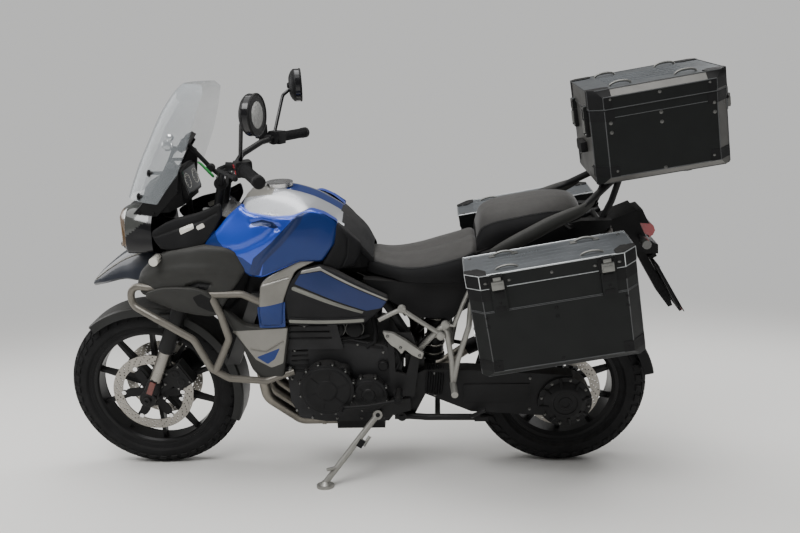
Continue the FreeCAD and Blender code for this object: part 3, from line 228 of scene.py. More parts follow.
BROWN = material("amber_rim", (0.1, 0.055, 0.02), 0.32, coat=0.5, mottle=0.15)
REFLECTOR = material("reflector", (0.78, 0.78, 0.76), 0.14, metal=1.0, mottle=0.05)
GREEN = material("green_strap", (0.03, 0.32, 0.07), 0.6, grain=0.4, grain_scale=600.0)
DISPLAY = material("display_glass", (0.02, 0.025, 0.03), 0.08, coat=1.0, mottle=0.05)
MID_BLUE = material("mid_blue_paint", (0.003, 0.021, 0.125), 0.34, metal=0.3, coat=0.35, coat_rough=0.06,
    mottle=0.05, flake=0.4, rough_var=0.05, shine=0.25)
MESH_GREY = material("radiator_core", (0.05, 0.05, 0.05), 0.5, metal=0.6)
BOX_BAND = material("box_band", (0.115, 0.112, 0.105), 0.34, metal=0.5, grain=0.2, rough_var=0.1)
BOX_EDGE = material("box_edge", (0.075, 0.078, 0.08), 0.42, metal=0.4, mottle=0.08, grain=0.25, rough_var=0.08)
MUDGUARD = material("mudguard_moulding", (0.019, 0.0195, 0.019), 0.46, mottle=0.12, grain=0.2,
    grain_scale=900.0, rough_var=0.08, dust=0.16, shine=0.22)
SCREEN = clear("screen_clear", (0.40, 0.43, 0.45), 0.06, 0.035)
LENS = clear("lamp_clear", (0.80, 0.80, 0.76), 0.05, 0.16)


def dress(node, *mats):
    data = NODES[node].data
    data.materials.clear()
    for m in mats:
        data.materials.append(m)


def paint(node, mats, rule):
    """Dresses a frame node, each face's material chosen by the rule from its place and facing."""
    dress(node, *mats)
    o = NODES[node]
    here = TO_ROW.inverted() @ o.matrix_world
    turn = here.to_3x3().normalized()
    for face in o.data.polygons:
        face.material_index = rule(here @ face.center, turn @ face.normal)


def bevel(node, width, segments=2):
    mod = NODES[node].modifiers.new("edges", "BEVEL")
    mod.width = width * 0.001
    mod.segments = segments
    mod.limit_method = "ANGLE"
    mod.angle_limit = radians(35)
    mod.harden_normals = False


# Mesh making, in the upright frame's millimetres

def angles(n, turn=0.0):
    return [2 * pi * k / n + turn for k in range(n)]


def along_y(at, degrees):
    """A placement at a point, turned about the axis across the motorcycle."""
    m = Matrix.Rotation(radians(degrees), 4, "Y")
    m.translation = Vector(at)
    return m


def placed(columns, at):
    m = Matrix(columns).transposed().to_4x4()
    m.translation = Vector(at)
    return m


def crosswise(d):
    """A unit direction square to d, level where it can be."""
    side = d.cross(Z_DIR)
    return (side if side.length >= 0.1 else d.cross(X_DIR)).normalized()


def border(rows):
    """The points round the edge of a grid."""
    return list(rows[0]) + [row[-1] for row in rows[1:]] + rows[-1][::-1][1:] + [row[0] for row in rows[-2:0:-1]]


class Shape:
    """Collects vertices and faces of many small forms into one mesh; on() picks the material of what follows."""

    def __init__(self):
        self.v = []
        self.f = []
        self.m = []
        self.slot = 0

    def on(self, slot):
        self.slot = slot
        return self

    def add(self, verts, faces):
        base = len(self.v)
        self.v.extend([tuple(p) for p in verts])
        self.f.extend([tuple(base + i for i in f) for f in faces])
        self.m.extend([self.slot] * len(faces))
        return self

    def grid(self, rows, closed=False, flip=False):
        """Rows of points joined as quads; closed joins each row's ends."""
        n = len(rows[0])
        quads = []
        for i in range(0, (len(rows) - 1) * n, n):
            for j in range(n if closed else n - 1):
                k = (j + 1) % n
                quads.append((i + j, i + n + j, i + n + k, i + k) if flip else (i + j, i + k, i + n + k, i + n + j))
        return self.add([p for row in rows for p in row], quads)

    def cap(self, row, flip=False):
        loop = list(range(len(row)))
        return self.add(row, [loop[::-1] if flip else loop])

    def tube(self, pts, r, n=12):
        pts = [Vector(p) for p in pts]
        rs = r if isinstance(r, (list, tuple)) else [r] * len(pts)
        rows = []
        up = None
        for i, p in enumerate(pts):
            d = (pts[min(len(pts) - 1, i + 1)] - pts[max(0, i - 1)]).normalized()
            if up is None:
                up = crosswise(d)
            up = (up - d * up.dot(d)).normalized()
            w = d.cross(up)
            rows.append([p + (up * cos(t) + w * sin(t)) * rs[i] for t in angles(n)])
        return self.grid(rows, closed=True).cap(rows[0], flip=True).cap(rows[-1])

    def turned(self, profile, centre, n):
        """A form of revolution about the axle line; the profile gives (along, radius) pairs."""
        return self.grid([[(centre[0] + r * cos(t), centre[1] + y, centre[2] + r * sin(t)) for t in angles(n)]
                          for y, r in profile], closed=True)

    def spun(self, profile, centre, direction, n=24):
        """A form of revolution about any direction; the profile gives (along, radius) pairs."""
        d = Vector(direction).normalized()
        side = crosswise(d)
        w = d.cross(side)
        c = Vector(centre)
        rows = [[c + d * a + (side * cos(t) + w * sin(t)) * r for t in angles(n)] for a, r in profile]
        self.grid(rows, closed=True)
        if profile[0][1] > 0.01:
            self.cap(rows[0], flip=True)
        if profile[-1][1] > 0.01:
            self.cap(rows[-1])
        return self

    def bolt(self, at, direction, r, h):
        return self.spun([(-1.5, r * 1.25), (0.8, r * 1.25), (0.8, r), (h * 0.8, r), (h, r * 0.75)], at,
                         Vector(direction).normalized(), 6)

    def block(self, lo, hi, chamfer, matrix=Matrix()):
        bm = bmesh.new()
        bmesh.ops.create_cube(bm, size=1.0)
        for p in bm.verts:
            p.co = V(*((a + b) / 2 + c * (b - a) for a, b, c in zip(lo, hi, p.co)))
        bmesh.ops.bevel(bm, geom=list(bm.edges), offset=chamfer, segments=2, affect="EDGES", profile=0.7)
        bm.verts.index_update()
        self.add([matrix @ p.co for p in bm.verts], [[q.index for q in f.verts] for f in bm.faces])
        bm.free()
        return self

    def merge(self, other):
        base = len(self.v)
        self.v += other.v
        self.f += [tuple(base + i for i in f) for f in other.f]
        self.m += other.m

    def place(self, matrix, other_side=False):
        """Moves the form by the matrix, and mirrors it where it is for the right side."""
        self.v = [tuple(matrix @ Vector(q)) for q in self.v]
        if other_side:
            self.v = [(x, -y, z) for x, y, z in self.v]
            self.f = [f[::-1] for f in self.f]
        return self

    def build(self, name, mats, body="chassis", smooth=40, slot=None, mirror=False, replaces=None):
        """The finished piece; faces that meet at more than smooth degrees keep a sharp edge."""
        if mirror:
            base = len(self.v)
            self.v += [(x, -y, z) for x, y, z in self.v]
            self.f += [tuple(base + i for i in reversed(q)) for q in self.f]
            self.m += self.m
        me = bpy.data.meshes.new(name)
        me.from_pydata(self.v, [], self.f)
        me.polygons.foreach_set("material_index", self.m)
        me.validate()
        me.transform(TO_ROW)
        me.update()
        me.shade_smooth()
        me.set_sharp_from_angle(angle=radians(smooth))
        o = bpy.data.objects.new(name, me)
        COLLECTION.objects.link(o)
        for m in mats:
            me.materials.append(m)
        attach(o, body)
        if replaces:
            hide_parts(replaces)
        return o


def spline(points, steps=6):
    """A smooth line through the points."""
    p = [Vector(q) for q in points]
    p = [p[0] * 2 - p[1]] + p + [p[-1] * 2 - p[-2]]
    out = []
    for a, b, c, d in zip(p, p[1:], p[2:], p[3:]):
        for k in range(steps):
            t = k / steps
            out.append(0.5 * ((2 * b) + (c - a) * t + (2 * a - 5 * b + 4 * c - d) * t * t
                              + (3 * b - a - 3 * c + d) * t * t * t))
    return out + [p[-2].copy()]


def rounded(points, r, steps):
    """A polygon with each corner turned into a small arc."""
    p = [Vector(q) for q in points]
    out = []
    for i, b in enumerate(p):
        u, w = p[i - 1] - b, p[(i + 1) % len(p)] - b
        reach = min(r, u.length * 0.45, w.length * 0.45)
        s, e = b + u.normalized() * reach, b + w.normalized() * reach
        for k in range(steps + 1):
            t = k / steps
            out.append(s * (1 - t) ** 2 + b * 2 * t * (1 - t) + e * t * t)
    return out


def patch(grid, mu=6, mv=6):
    """A smooth surface through a grid of points: rows across, columns along."""
    rows = [spline(row, mv) for row in grid]
    columns = [spline(column, mu) for column in zip(*rows)]
    return [list(row) for row in zip(*columns)]


class Depth:
    """A smooth depth y over the side view, through a few (x, z, y) points (thin plate spline)."""

    def __init__(self, points):
        p = np.array(points, float)
        self.c = p[:, :2] / 100.0
        n = len(p)
        q = np.hstack([np.ones((n, 1)), self.c])
        a = np.zeros((n + 3, n + 3))
        a[:n, :n] = self.kernel(self.c) + np.eye(n) * 0.02
        a[:n, n:] = q
        a[n:, :n] = q.T
        self.w = np.linalg.solve(a, np.concatenate([p[:, 2], np.zeros(3)]))

    def kernel(self, a):
        r2 = ((a[:, None, :] - self.c[None, :, :]) ** 2).sum(-1)
        return 0.5 * r2 * np.log(r2 + 1e-9)

    def __call__(self, xz):
        xz = np.asarray(xz, float).reshape(-1, 2) / 100.0
        n = len(self.c)
        return self.kernel(xz) @ self.w[:n] + self.w[n] + xz @ self.w[n + 1:]


def gap_to(points, line, closed=True):
    """Each point's distance to a line of segments."""
    p = np.asarray(points, float)
    a = np.asarray(line, float)
    best = np.full(len(p), 1e9)
    for s, e in zip(a, np.roll(a, -1, axis=0) if closed else a[1:]):
        d = e - s
        t = np.clip(((p - s) @ d) / max(1e-9, d @ d), 0, 1)
        best = np.minimum(best, np.linalg.norm(p - s - t[:, None] * d, axis=1))
    return best


def even(line, step, closed=True):
    """The line again with even steps."""
    p = np.asarray(line, float)
    if closed:
        p = np.vstack([p, p[:1]])
    s = np.concatenate([[0], np.cumsum(np.linalg.norm(np.diff(p, axis=0), axis=1))])
    at = np.linspace(0, s[-1], max(3, int(round(s[-1] / step))) + 1)
    out = np.stack([np.interp(at, s, p[:, i]) for i in range(2)], 1)
    return out[:-1] if closed else out


def inside(points, line):
    p = np.asarray(points, float)
    a = np.asarray(line, float)
    hit = np.zeros(len(p), bool)
    for (x0, z0), (x1, z1) in zip(a, np.roll(a, -1, axis=0)):
        if z0 != z1:
            hit ^= ((z0 > p[:, 1]) != (z1 > p[:, 1])) & (p[:, 0] < (x1 - x0) * (p[:, 1] - z0) / (z1 - z0) + x0)
    return hit


def facing_up(faces, flat):
    """The triangles with their corners counter-clockwise."""
    out = []
    for f in faces:
        a, b, c = (flat[i] for i in f)
        up = (b[0] - a[0]) * (c[1] - a[1]) - (b[1] - a[1]) * (c[0] - a[0])
        out.append(list(f) if up > 0 else list(f)[::-1])
    return out


def cut_sheet(loops, eps):
    """The flat triangles inside the first loop and outside the others."""
    edges = []
    for loop in loops:
        base, n = len(edges), len(loop)
        edges += [(base + i, base + (i + 1) % n) for i in range(n)]
    flat, _, faces = delaunay_2d_cdt([Vector(q) for loop in loops for q in loop], edges, [], 1, eps)[:3]
    middle = [[sum(flat[i][k] for i in f) / 3 for k in (0, 1)] for f in faces]
    kept = inside(middle, loops[0])
    for loop in loops[1:]:
        kept &= ~inside(middle, loop)
    return flat, [list(f) for f, keep in zip(faces, kept) if keep]


def unit_rows(a):
    return a / np.maximum(np.linalg.norm(a, axis=1), 1e-9)[:, None]


def panel(name, outline, depth_points, mats, edge, crown, thick, step, grooves=(), zones=(), **more):
    """A moulded panel over a side-view outline, on both sides. depth_points give y at the rim; the face crowns
    outward from a rounded edge. grooves: (line, width, height) pressed in or raised. zones: (outline, material
    number) with crisp borders."""
    depth = Depth(depth_points)
    rim = even(rounded(outline, 12.0, 4), step)
    after, before = np.roll(rim, -1, axis=0), np.roll(rim, 1, axis=0)
    area = np.sum(rim[:, 0] * after[:, 1] - after[:, 0] * rim[:, 1])
    inward = unit_rows(np.stack([-(after - before)[:, 1], (after - before)[:, 0]], 1) * (1 if area > 0 else -1))
    free = []
    for share in (0.08, 0.25, 0.5, 0.78):
        ring = rim + inward * edge * share
        ring = ring[inside(ring, rim)]
        free.append(ring[gap_to(ring, rim) > edge * share * 0.8])
    hexes = []
    lo, hi = rim.min(0), rim.max(0)
    row, z = 0, lo[1]
    while z < hi[1]:
        x = lo[0] + (step / 2 if row % 2 else 0)
        while x < hi[0]:
            hexes.append((x, z))
            x += step
        z += step * 0.866
        row += 1
    hexes = np.array(hexes)
    hexes = hexes[inside(hexes, rim)]
    free.append(hexes[gap_to(hexes, rim) > edge * 0.95])
    zones = [(rounded(zone, 4.0, 3), index) for zone, index in zones]
    chains = [(even(zone, step * 0.6), True) for zone, _ in zones]
    for line, width, _ in grooves:
        w = even(line, step * 0.5, closed=False)
        chains.append((w, False))
        t = unit_rows(np.gradient(w, axis=0))
        side = np.stack([-t[:, 1], t[:, 0]], 1)
        for off in (-1.0, -0.55, 0.55, 1.0):
            beside = w + side * width * off
            free.append(beside[inside(beside, rim)])
    pts, edges, count = [], [], 0
    for chain, closed in [(rim, True)] + chains:
        n = len(chain)
        edges += [(count + i, count + (i + 1) % n) for i in range(n if closed else n - 1)]
        pts.append(chain)
        count += n
    fixed = np.vstack(pts[1:]) if chains else None
    for f in free:
        if len(f) and chains:
            f = f[np.array([np.min(np.abs(fixed - q).sum(1)) for q in f]) > step * 0.3]
        if len(f):
            pts.append(f)
    out = delaunay_2d_cdt([Vector(q) for q in np.vstack(pts)], edges, [list(range(len(rim)))], 1, 0.05)
    flat = np.array([tuple(q) for q in out[0]])
    t = np.clip(gap_to(flat, rim) / edge, 0, 1)
    y = depth(flat) - crown * np.sqrt(np.maximum(0, 1 - (1 - t) ** 2))
    for line, width, height in grooves:
        y = y - height * np.clip(1 - (gap_to(flat, line, closed=False) / width) ** 2, 0, 1) ** 1.5
    centres = np.array([flat[list(f)].mean(0) for f in out[2]])
    number = np.zeros(len(out[2]), int)
    for zone, index in zones:
        number[inside(centres, zone)] = index
    s = Shape().add([(p[0], yy, p[1]) for p, yy in zip(flat, y)], facing_up(out[2], flat))
    s.m = list(number)
    low = [(p[0], q, p[1]) for p, q in zip(rim, depth(rim))][::1 if area > 0 else -1]
    s.grid([low, [(x, q + thick, z) for x, q, z in low]], closed=True, flip=True)
    return s.build(name, mats, smooth=50, mirror=True, **more)


# Camera, floor and light, from the photograph's viewpoint

PALE = (0.80, 0.80, 0.79, 1)
GLOW = 0.80


def set_stage():
    scene = bpy.context.scene
    turn = (Matrix.Rotation(radians(2.91), 3, "Z") @ Matrix.Rotation(-radians(5.99), 3, "X")
            @ Matrix.Rotation(radians(1.40), 3, "Y"))
    cam = bpy.data.cameras.new("camera")
    cam.sensor_width = 36.0
    cam.lens = 36.55
    cam.clip_end = 100.0
    scene.camera = bpy.data.objects.new("camera", cam)
    COLLECTION.objects.link(scene.camera)
    scene.camera.matrix_world = placed((turn.col[0], turn.col[2], -turn.col[1]),
                                       (ORIGIN.x + 0.331, ORIGIN.y - 3.097, 1.079))

    me = bpy.data.meshes.new("floor")
    s = 14.0
    me.from_pydata([(-s, -s, 0), (s, -s, 0), (s, s, 0), (-s, s, 0)], [], [(0, 1, 2, 3)])
    floor = bpy.data.objects.new("floor", me)
    COLLECTION.objects.link(floor)
    me.materials.append(bpy.data.materials.new("floor_pale"))
    t = Tree(me.materials[0])
    base = t.fill("Principled BSDF", {"Base Color": (0.78, 0.77, 0.745, 1), "Roughness": 0.8,
                                      "Specular IOR Level": 0.2})
    away = t.add("VectorMath", {0: t.add("NewGeometry", {})["Position"]}, operation="LENGTH")["Value"]
    far = t.span(away, 1.4, 7.0, 0.0, 1.0, interpolation_type="SMOOTHSTEP")
    glow = t.add("Emission", {"Color": PALE, "Strength": GLOW})
    t.fill("Material Output", {"Surface": t.add("MixShader", {0: far, 1: base[0], 2: glow[0]})[0]})

    scene.world = bpy.data.worlds.new("studio")
    t = Tree(scene.world)
    back = t.fill("Background", {"Color": PALE, "Strength": 0.26})
    show = t.add("Background", {"Color": PALE, "Strength": GLOW})
    path = t.add("LightPath", {})
    seen = t.math("MAXIMUM", path["Is Camera Ray"], path["Is Transmission Ray"])
    t.fill("World Output", {"Surface": t.add("MixShader", {0: seen, 1: back[0], 2: show[0]})[0]})

    def light(name, kind, power, **settings):
        data = bpy.data.lights.new(name, kind)
        data.energy = power
        for key, value in settings.items():
            setattr(data, key, value)
        o = bpy.data.objects.new(name, data)
        COLLECTION.objects.link(o)
        return o

    def area(name, at, target, size, size_y, power):
        o = light(name, "AREA", power, shape="RECTANGLE", size=size, size_y=size_y)
        o.location = at
        o.rotation_euler = (Vector(target) - Vector(at)).to_track_quat("-Z", "Y").to_euler()

    area("key", (-1.2, -2.6, 3.4), (0, 0, 0.6), 2.4, 1.6, 95.0)
    area("overhead", (0.2, 0.2, 3.8), (0, 0, 0.5), 3.2, 1.4, 40.0)
    light("sky", "SUN", 1.9, angle=radians(70)).rotation_euler = (radians(14), radians(-10), 0)
    area("rear_fill", (2.8, 1.8, 2.4), (0.2, 0, 0.7), 2.0, 2.0, 45.0)
    area("front_fill", (-3.2, 0.8, 2.0), (-0.3, 0, 0.7), 1.8, 1.8, 35.0)


set_stage()

for node_name in NODES:
    dress(node_name, BLACK)


# Bodywork

TANK_EDGE = [(-497, 904), (-458, 960), (-419, 996), (-385, 1036), (-340, 1072), (-313, 1050), (-224, 1035),
    (-163, 1036), (-104, 1052), (-60, 1034), (-16, 1000), (-28, 933), (-73, 871), (-148, 878), (-277, 825),
    (-325, 833), (-350, 862), (-403, 885), (-456, 897)]
TANK_DEPTH = [(-497, 908, -182), (-440, 960, -188), (-380, 1040, -158), (-320, 1060, -160), (-224, 1035, -176),
    (-104, 1052, -158), (-16, 1004, -138), (-28, 933, -160), (-73, 871, -172), (-148, 878, -182),
    (-277, 825, -192), (-350, 862, -200), (-420, 890, -198), (-330, 930, -204), (-230, 960, -200),
    (-120, 960, -184)]
panel("tank_side_shells", TANK_EDGE, TANK_DEPTH, [BLUE, DEEP_BLUE_AND_SLOT_SHADE, MID_BLUE], edge=16, crown=9, thick=30,
    step=8, slot="body_blue", replaces="tank_sides",
    grooves=[([(-300, 1016), (-264, 1022), (-230, 1014), (-212, 1000)], 13.0, -5.0),
        ([(-150, 1030), (-172, 1000), (-212, 952), (-262, 900), (-296, 850)], 10.0, 4.0),
        ([(-385, 925), (-330, 935), (-262, 965), (-215, 1002)], 16.0, -5.0),
        ([(-470, 915), (-420, 905), (-360, 880)], 7.0, -3.0)],
    zones=[([(-505, 902), (-460, 962), (-428, 994), (-417, 962), (-388, 928), (-334, 902), (-302, 872),
        (-316, 834), (-352, 858), (-403, 881), (-458, 893)], 2),
        ([(-120, 1046), (-137, 1010), (-200, 942), (-268, 880), (-286, 836), (-312, 832), (-318, 850),
        (-300, 900), (-236, 952), (-180, 1006), (-150, 1036)], 1),
        ([(-120, 1046), (-137, 1010), (-200, 942), (-268, 880), (-280, 832), (-148, 881), (-73, 872),
        (-28, 933), (-16, 1004), (-60, 1034)], 2),
        # The last zone paints the shallow slot pressed into the tank side in deep blue: painted shade for the dark
        # vent opening under its upper lip.
        ([(-304, 1016), (-264, 1027), (-226, 1018), (-208, 998), (-222, 996), (-246, 1006), (-298, 1008)], 1)])

COWL_EDGE = [(-722, 806), (-703, 851), (-655, 896), (-592, 926), (-535, 938), (-462, 948), (-394, 940),
    (-352, 918), (-329, 858), (-361, 813), (-401, 759), (-422, 723), (-456, 772), (-495, 797), (-546, 802),
    (-618, 789), (-674, 766), (-706, 770)]
COWL_DEPTH = [(-735, 812, -168), (-700, 850, -176), (-655, 896, -184), (-592, 926, -196), (-520, 940, -204),
    (-440, 948, -208), (-352, 918, -206), (-329, 858, -204), (-401, 759, -214), (-495, 797, -224),
    (-618, 789, -216), (-700, 768, -190), (-560, 870, -222), (-460, 880, -224), (-660, 820, -205)]
panel("cowl_shells", COWL_EDGE, COWL_DEPTH, [COWL, BLACK], edge=20, crown=10, thick=40, step=9,
    slot="matte_grey", replaces="front_cowls",
    grooves=[([(-528, 812), (-491, 824), (-451, 816)], 11.0, -10.0),
        ([(-690, 826), (-620, 858), (-540, 872), (-430, 872), (-360, 850)], 22.0, 5.0)],
    zones=[([(-530, 812), (-491, 826), (-451, 818), (-460, 798), (-513, 792)], 1)])
FIN_EDGE = [(-684, 762), (-676, 790), (-618, 808), (-560, 812), (-500, 808), (-456, 790), (-430, 742),
    (-421, 700), (-470, 690), (-519, 700), (-588, 716), (-642, 740)]
FIN_DEPTH = [(-684, 762, -212), (-676, 790, -232), (-618, 808, -236), (-560, 812, -242), (-500, 808, -244),
    (-456, 790, -242), (-430, 722, -214), (-519, 700, -212), (-588, 716, -208), (-540, 750, -232)]
panel("cowl_fins", FIN_EDGE, FIN_DEPTH, [COWL, BLACK], edge=12, crown=7, thick=34, step=9,
    zones=[([(-480, 790), (-440, 760), (-428, 716), (-460, 712), (-500, 740), (-512, 776)], 1)])
LOW_EDGE = [(-425, 722), (-396, 690), (-354, 650), (-296, 640), (-205, 640), (-215, 560), (-237, 438),
    (-312, 432), (-345, 478), (-376, 593), (-411, 668)]
LOW_DEPTH = [(-425, 722, -206), (-354, 637, -198), (-205, 640, -182), (-237, 438, -176), (-312, 434, -182),
    (-345, 478, -190), (-411, 668, -204), (-290, 540, -190)]
panel("lower_cowl_shells", LOW_EDGE, LOW_DEPTH, [COWL, MID_BLUE, SILVER_GREY], edge=14, crown=7, thick=24,
    step=8,
    grooves=[([(-340, 560), (-290, 548), (-226, 584)], 4.0, -3.0)],
    zones=[([(-400, 634), (-208, 634), (-222, 562), (-234, 500), (-276, 484), (-327, 520), (-366, 588)], 2),
        ([(-324, 530), (-240, 560), (-262, 518), (-288, 500)], 1)])
INFILL_EDGE = [(-286, 803), (-262, 826), (-235, 839), (-149, 878), (-92, 876), (-165, 843), (-189, 800),
    (-212, 742), (-223, 648), (-299, 648), (-294, 729)]
INFILL_DEPTH = [(-286, 813, -200), (-149, 878, -178), (-92, 876, -176), (-189, 800, -188), (-214, 742, -198),
    (-223, 646, -190), (-299, 662, -198), (-296, 729, -216), (-262, 722, -218), (-240, 706, -212),
    (-250, 780, -204)]
panel("infill_shells", INFILL_EDGE, INFILL_DEPTH, [SILVER_GREY, MID_BLUE, GLOSS_BLACK], edge=7, crown=4,
    thick=16, step=7, slot="body_silver", replaces="infill_panels",
    grooves=[([(-290, 800), (-235, 812), (-190, 822)], 4.0, -3.0)],
    zones=[([(-300, 727), (-206, 737), (-214, 640), (-304, 640)], 1)])

COVER_EDGE = [(-149, 846), (-79, 862), (-20, 836), (151, 734), (128, 700), (62, 648), (-202, 650), (-219, 732),
    (-187, 802)]
COVER_DEPTH = [(-149, 848, -184), (-79, 860, -184), (151, 734, -176), (61, 648, -188), (-202, 652, -188),
    (-187, 802, -188), (-40, 760, -202), (40, 740, -196), (-120, 720, -200)]
panel("side_cover_shells", COVER_EDGE, COVER_DEPTH, [PAD, DEEP_BLUE_AND_SLOT_SHADE, SATIN, STRIPE], edge=10, crown=6, thick=26,
    step=7, slot="matte_grey", replaces="side_covers",
    grooves=[([(-180, 790), (-60, 745), (62, 692)], 6.0, -4.0),
        ([(-196, 676), (-60, 676), (64, 676)], 4.0, -3.0)],
    zones=[([(-143, 845), (-79, 859), (-74, 853), (148, 732), (145, 727), (-77, 846), (-147, 835)], 2),
        ([(-150, 832), (-78, 843), (142, 724), (124, 703), (72, 697), (-170, 800)], 1),
        ([(-179, 789), (-166, 789), (62, 694), (58, 687), (-182, 779)], 3),
        ([(-200, 668), (62, 668), (62, 655), (-200, 656)], 3)])

# The tank's top cover: an x, then five (y, z) points from the spine to the low edge, from front to rear.
COVER_COLUMNS = [
    (-338, [(0, 1084), (-52, 1084), (-104, 1072), (-150, 1052), (-166, 1040)]),
    (-316, [(0, 1094), (-56, 1092), (-112, 1078), (-158, 1050), (-174, 1034)]),
    (-250, [(0, 1103), (-58, 1100), (-116, 1082), (-162, 1048), (-178, 1028)]),
    (-180, [(0, 1095), (-56, 1093), (-112, 1074), (-156, 1044), (-172, 1030)]),
    (-110, [(0, 1073), (-52, 1071), (-104, 1056), (-144, 1046), (-160, 1042)]),
    (-60, [(0, 1047), (-48, 1045), (-96, 1030), (-134, 1020), (-150, 1012)]),
    (-20, [(0, 1022), (-46, 1020), (-90, 1004), (-124, 992), (-140, 984)]),
    (30, [(0, 984), (-42, 980), (-82, 962), (-108, 946), (-122, 936)]),
    (70, [(0, 944), (-36, 938), (-70, 918), (-94, 902), (-106, 892)]),
    (96, [(0, 892), (-30, 888), (-60, 874), (-84, 862), (-94, 854)]),
]


def sections(columns, side=1):
    """Rows of points from half sections, each an x and its (y, z) points from the spine down."""
    return [[V(x, side * y, z) for y, z in half] for x, half in columns]


fine = patch(sections(COVER_COLUMNS), 7, 6)
cover = Shape().grid(fine)
across = len(fine[0]) - 1
for face in range(len(cover.f)):
    i, j = divmod(face, across)
    x = (fine[i][j].x + fine[i + 1][j].x) / 2
    share = j / across
    if x > -14 + share * 20:
        cover.m[face] = 2
    elif -200 < x and share < 0.17 + 0.02 * (x + 200) / 200:
        cover.m[face] = 1
    elif -345 < x < -236 and share < 0.40:
        cover.m[face] = 3
edge_row = [row[-1] for row in fine]
for slot_at, part in ((0, [q for q in edge_row if q.x < -4]), (2, [q for q in edge_row if q.x > -16])):
    cover.on(slot_at).grid([part, [(p.x, p.y + 2, p.z - 12) for p in part],
                            [(p.x, p.y + 14, p.z - 34) for p in part]])
cover.on(0).grid([fine[0], [(p.x - 4, p.y, p.z - 8) for p in fine[0]], [(p.x + 6, p.y, p.z - 60) for p in fine[0]]],
                 flip=True)
cover.build("tank_cover_shell", [SILVER, MID_BLUE, PAD, SILVER_GREY], smooth=60, mirror=True, slot="body_silver",
            replaces="tank_top_cover")

PAD_EDGE = [(-24, 1000), (8, 972), (60, 914), (52, 872), (32, 837), (-31, 831), (-76, 858), (-32, 926)]
PAD_DEPTH = [(-20, 1000, -140), (57, 912, -112), (32, 837, -120), (-31, 831, -150), (-78, 857, -168),
    (-32, 924, -158), (0, 900, -142)]
panel("knee_pads", PAD_EDGE, PAD_DEPTH, [PAD, BLACK], edge=12, crown=7, thick=24, step=8,
    grooves=[([(-10, 985), (14, 940), (10, 880), (-10, 842)], 5.0, -4.0)])


# Seats

# The row of points of a seat's surface that its seam follows
SEAM = 18


def seat(name, node, columns):
    """A padded seat through half sections; its piping and stitches follow the row of points SEAM."""
    top = patch(sections(columns), 7, 6)
    across = len(top[0]) - 1
    form = Shape().grid(top)
    form.m = [int(face % across >= SEAM) for face in range(len(form.f))]
    form.on(1).grid([[row[-1], (row[-1].x, row[-1].y * 0.94, row[-1].z - 5), (row[-1].x, 0.0, row[-1].z - 8)]
                     for row in top])
    for end, turned in ((top[0], True), (top[-1], False)):
        low = min(q.z for q in end) - 5
        form.grid([end, [(x, y * 0.97, max(low, z - 4)) for x, y, z in end], [(x, y * 0.9, low) for x, y, z in end]],
                  flip=turned)
    form.build(name, [VINYL, VINYL_SIDE], smooth=60, slot="seat_cover", mirror=True, replaces=node)
    line = [row[SEAM] + V(0, -0.8, 0.8) for row in top]
    piping = Shape().tube(line, 2.0, 8).on(1)
    for a, b in zip(line, line[1:]):
        count = int((b - a).length / 7) + 1
        for k in range(count):
            piping.tube([a.lerp(b, (k + at) / count) + V(0, 5.0, 0.6) for at in (0.2, 0.75)], 0.7, 5)
    piping.build(name + "_piping", [VINYL_SIDE, THREAD], mirror=True)


seat("rider_seat_cover", "rider_seat", [
    (60, [(0, 868), (24, 866), (46, 860), (60, 848), (70, 832), (72, 806)]),
    (100, [(0, 866), (38, 864), (70, 856), (90, 842), (99, 824), (99, 798)]),
    (150, [(0, 850), (46, 851), (86, 845), (110, 832), (121, 812), (120, 790)]),
    (205, [(0, 846), (56, 849), (104, 843), (132, 828), (146, 806), (145, 783)]),
    (265, [(0, 853), (62, 857), (116, 851), (148, 834), (161, 808), (160, 782)]),
    (330, [(0, 870), (64, 875), (122, 867), (154, 848), (168, 816), (165, 783)]),
    (400, [(0, 890), (62, 895), (118, 887), (150, 866), (166, 830), (162, 786)]),
    (438, [(0, 905), (56, 908), (108, 900), (138, 880), (152, 846), (148, 798)]),
    (455, [(0, 898), (54, 902), (102, 893), (128, 874), (142, 842), (140, 802)]),
])
seat("pillion_seat_cover", "pillion_seat", [
    (454, [(0, 945), (40, 944), (76, 934), (104, 916), (120, 900), (122, 884)]),
    (472, [(0, 996), (46, 994), (86, 982), (114, 958), (130, 926), (130, 890)]),
    (510, [(0, 1019), (50, 1017), (94, 1006), (124, 980), (142, 946), (140, 904)]),
    (560, [(0, 1031), (52, 1029), (98, 1018), (130, 993), (147, 960), (144, 922)]),
    (630, [(0, 1043), (52, 1041), (98, 1030), (130, 1006), (147, 976), (144, 944)]),
    (700, [(0, 1051), (52, 1049), (96, 1038), (126, 1015), (142, 988), (140, 962)]),
    (765, [(0, 1050), (46, 1048), (86, 1036), (114, 1014), (130, 992), (128, 976)]),
    (798, [(0, 1036), (40, 1034), (74, 1024), (98, 1009), (112, 998), (112, 984)]),
    (808, [(0, 1020), (36, 1018), (68, 1010), (90, 1000), (102, 992), (102, 986)]),
])


# Tyres

def tread_block(form, centre, radius, crown, corners, depth):
    """A raised block over four (theta, phi) corners."""
    a, b, c, d = [Vector(q) for q in corners]
    mid = (a + b + c + d) / 4
    rows = [[a.lerp(b, t / 2).lerp(d.lerp(c, t / 2), i / 4) for t in range(3)] for i in range(5)]

    def place(points, size, sunk):
        out = []
        for q in points:
            at = mid + (q - mid) * size
            r = radius - crown + (crown - sunk) * cos(at.y)
            out.append((centre.x + r * cos(at.x), (crown - sunk) * sin(at.y), centre.z + r * sin(at.x)))
        return out

    form.grid([place(row, 0.95, 0.0) for row in rows])
    rim = border(rows)
    form.grid([place(rim, 0.95, 0.0), place(rim, 1.0, 0.9), place(rim, 1.02, depth)], closed=True)


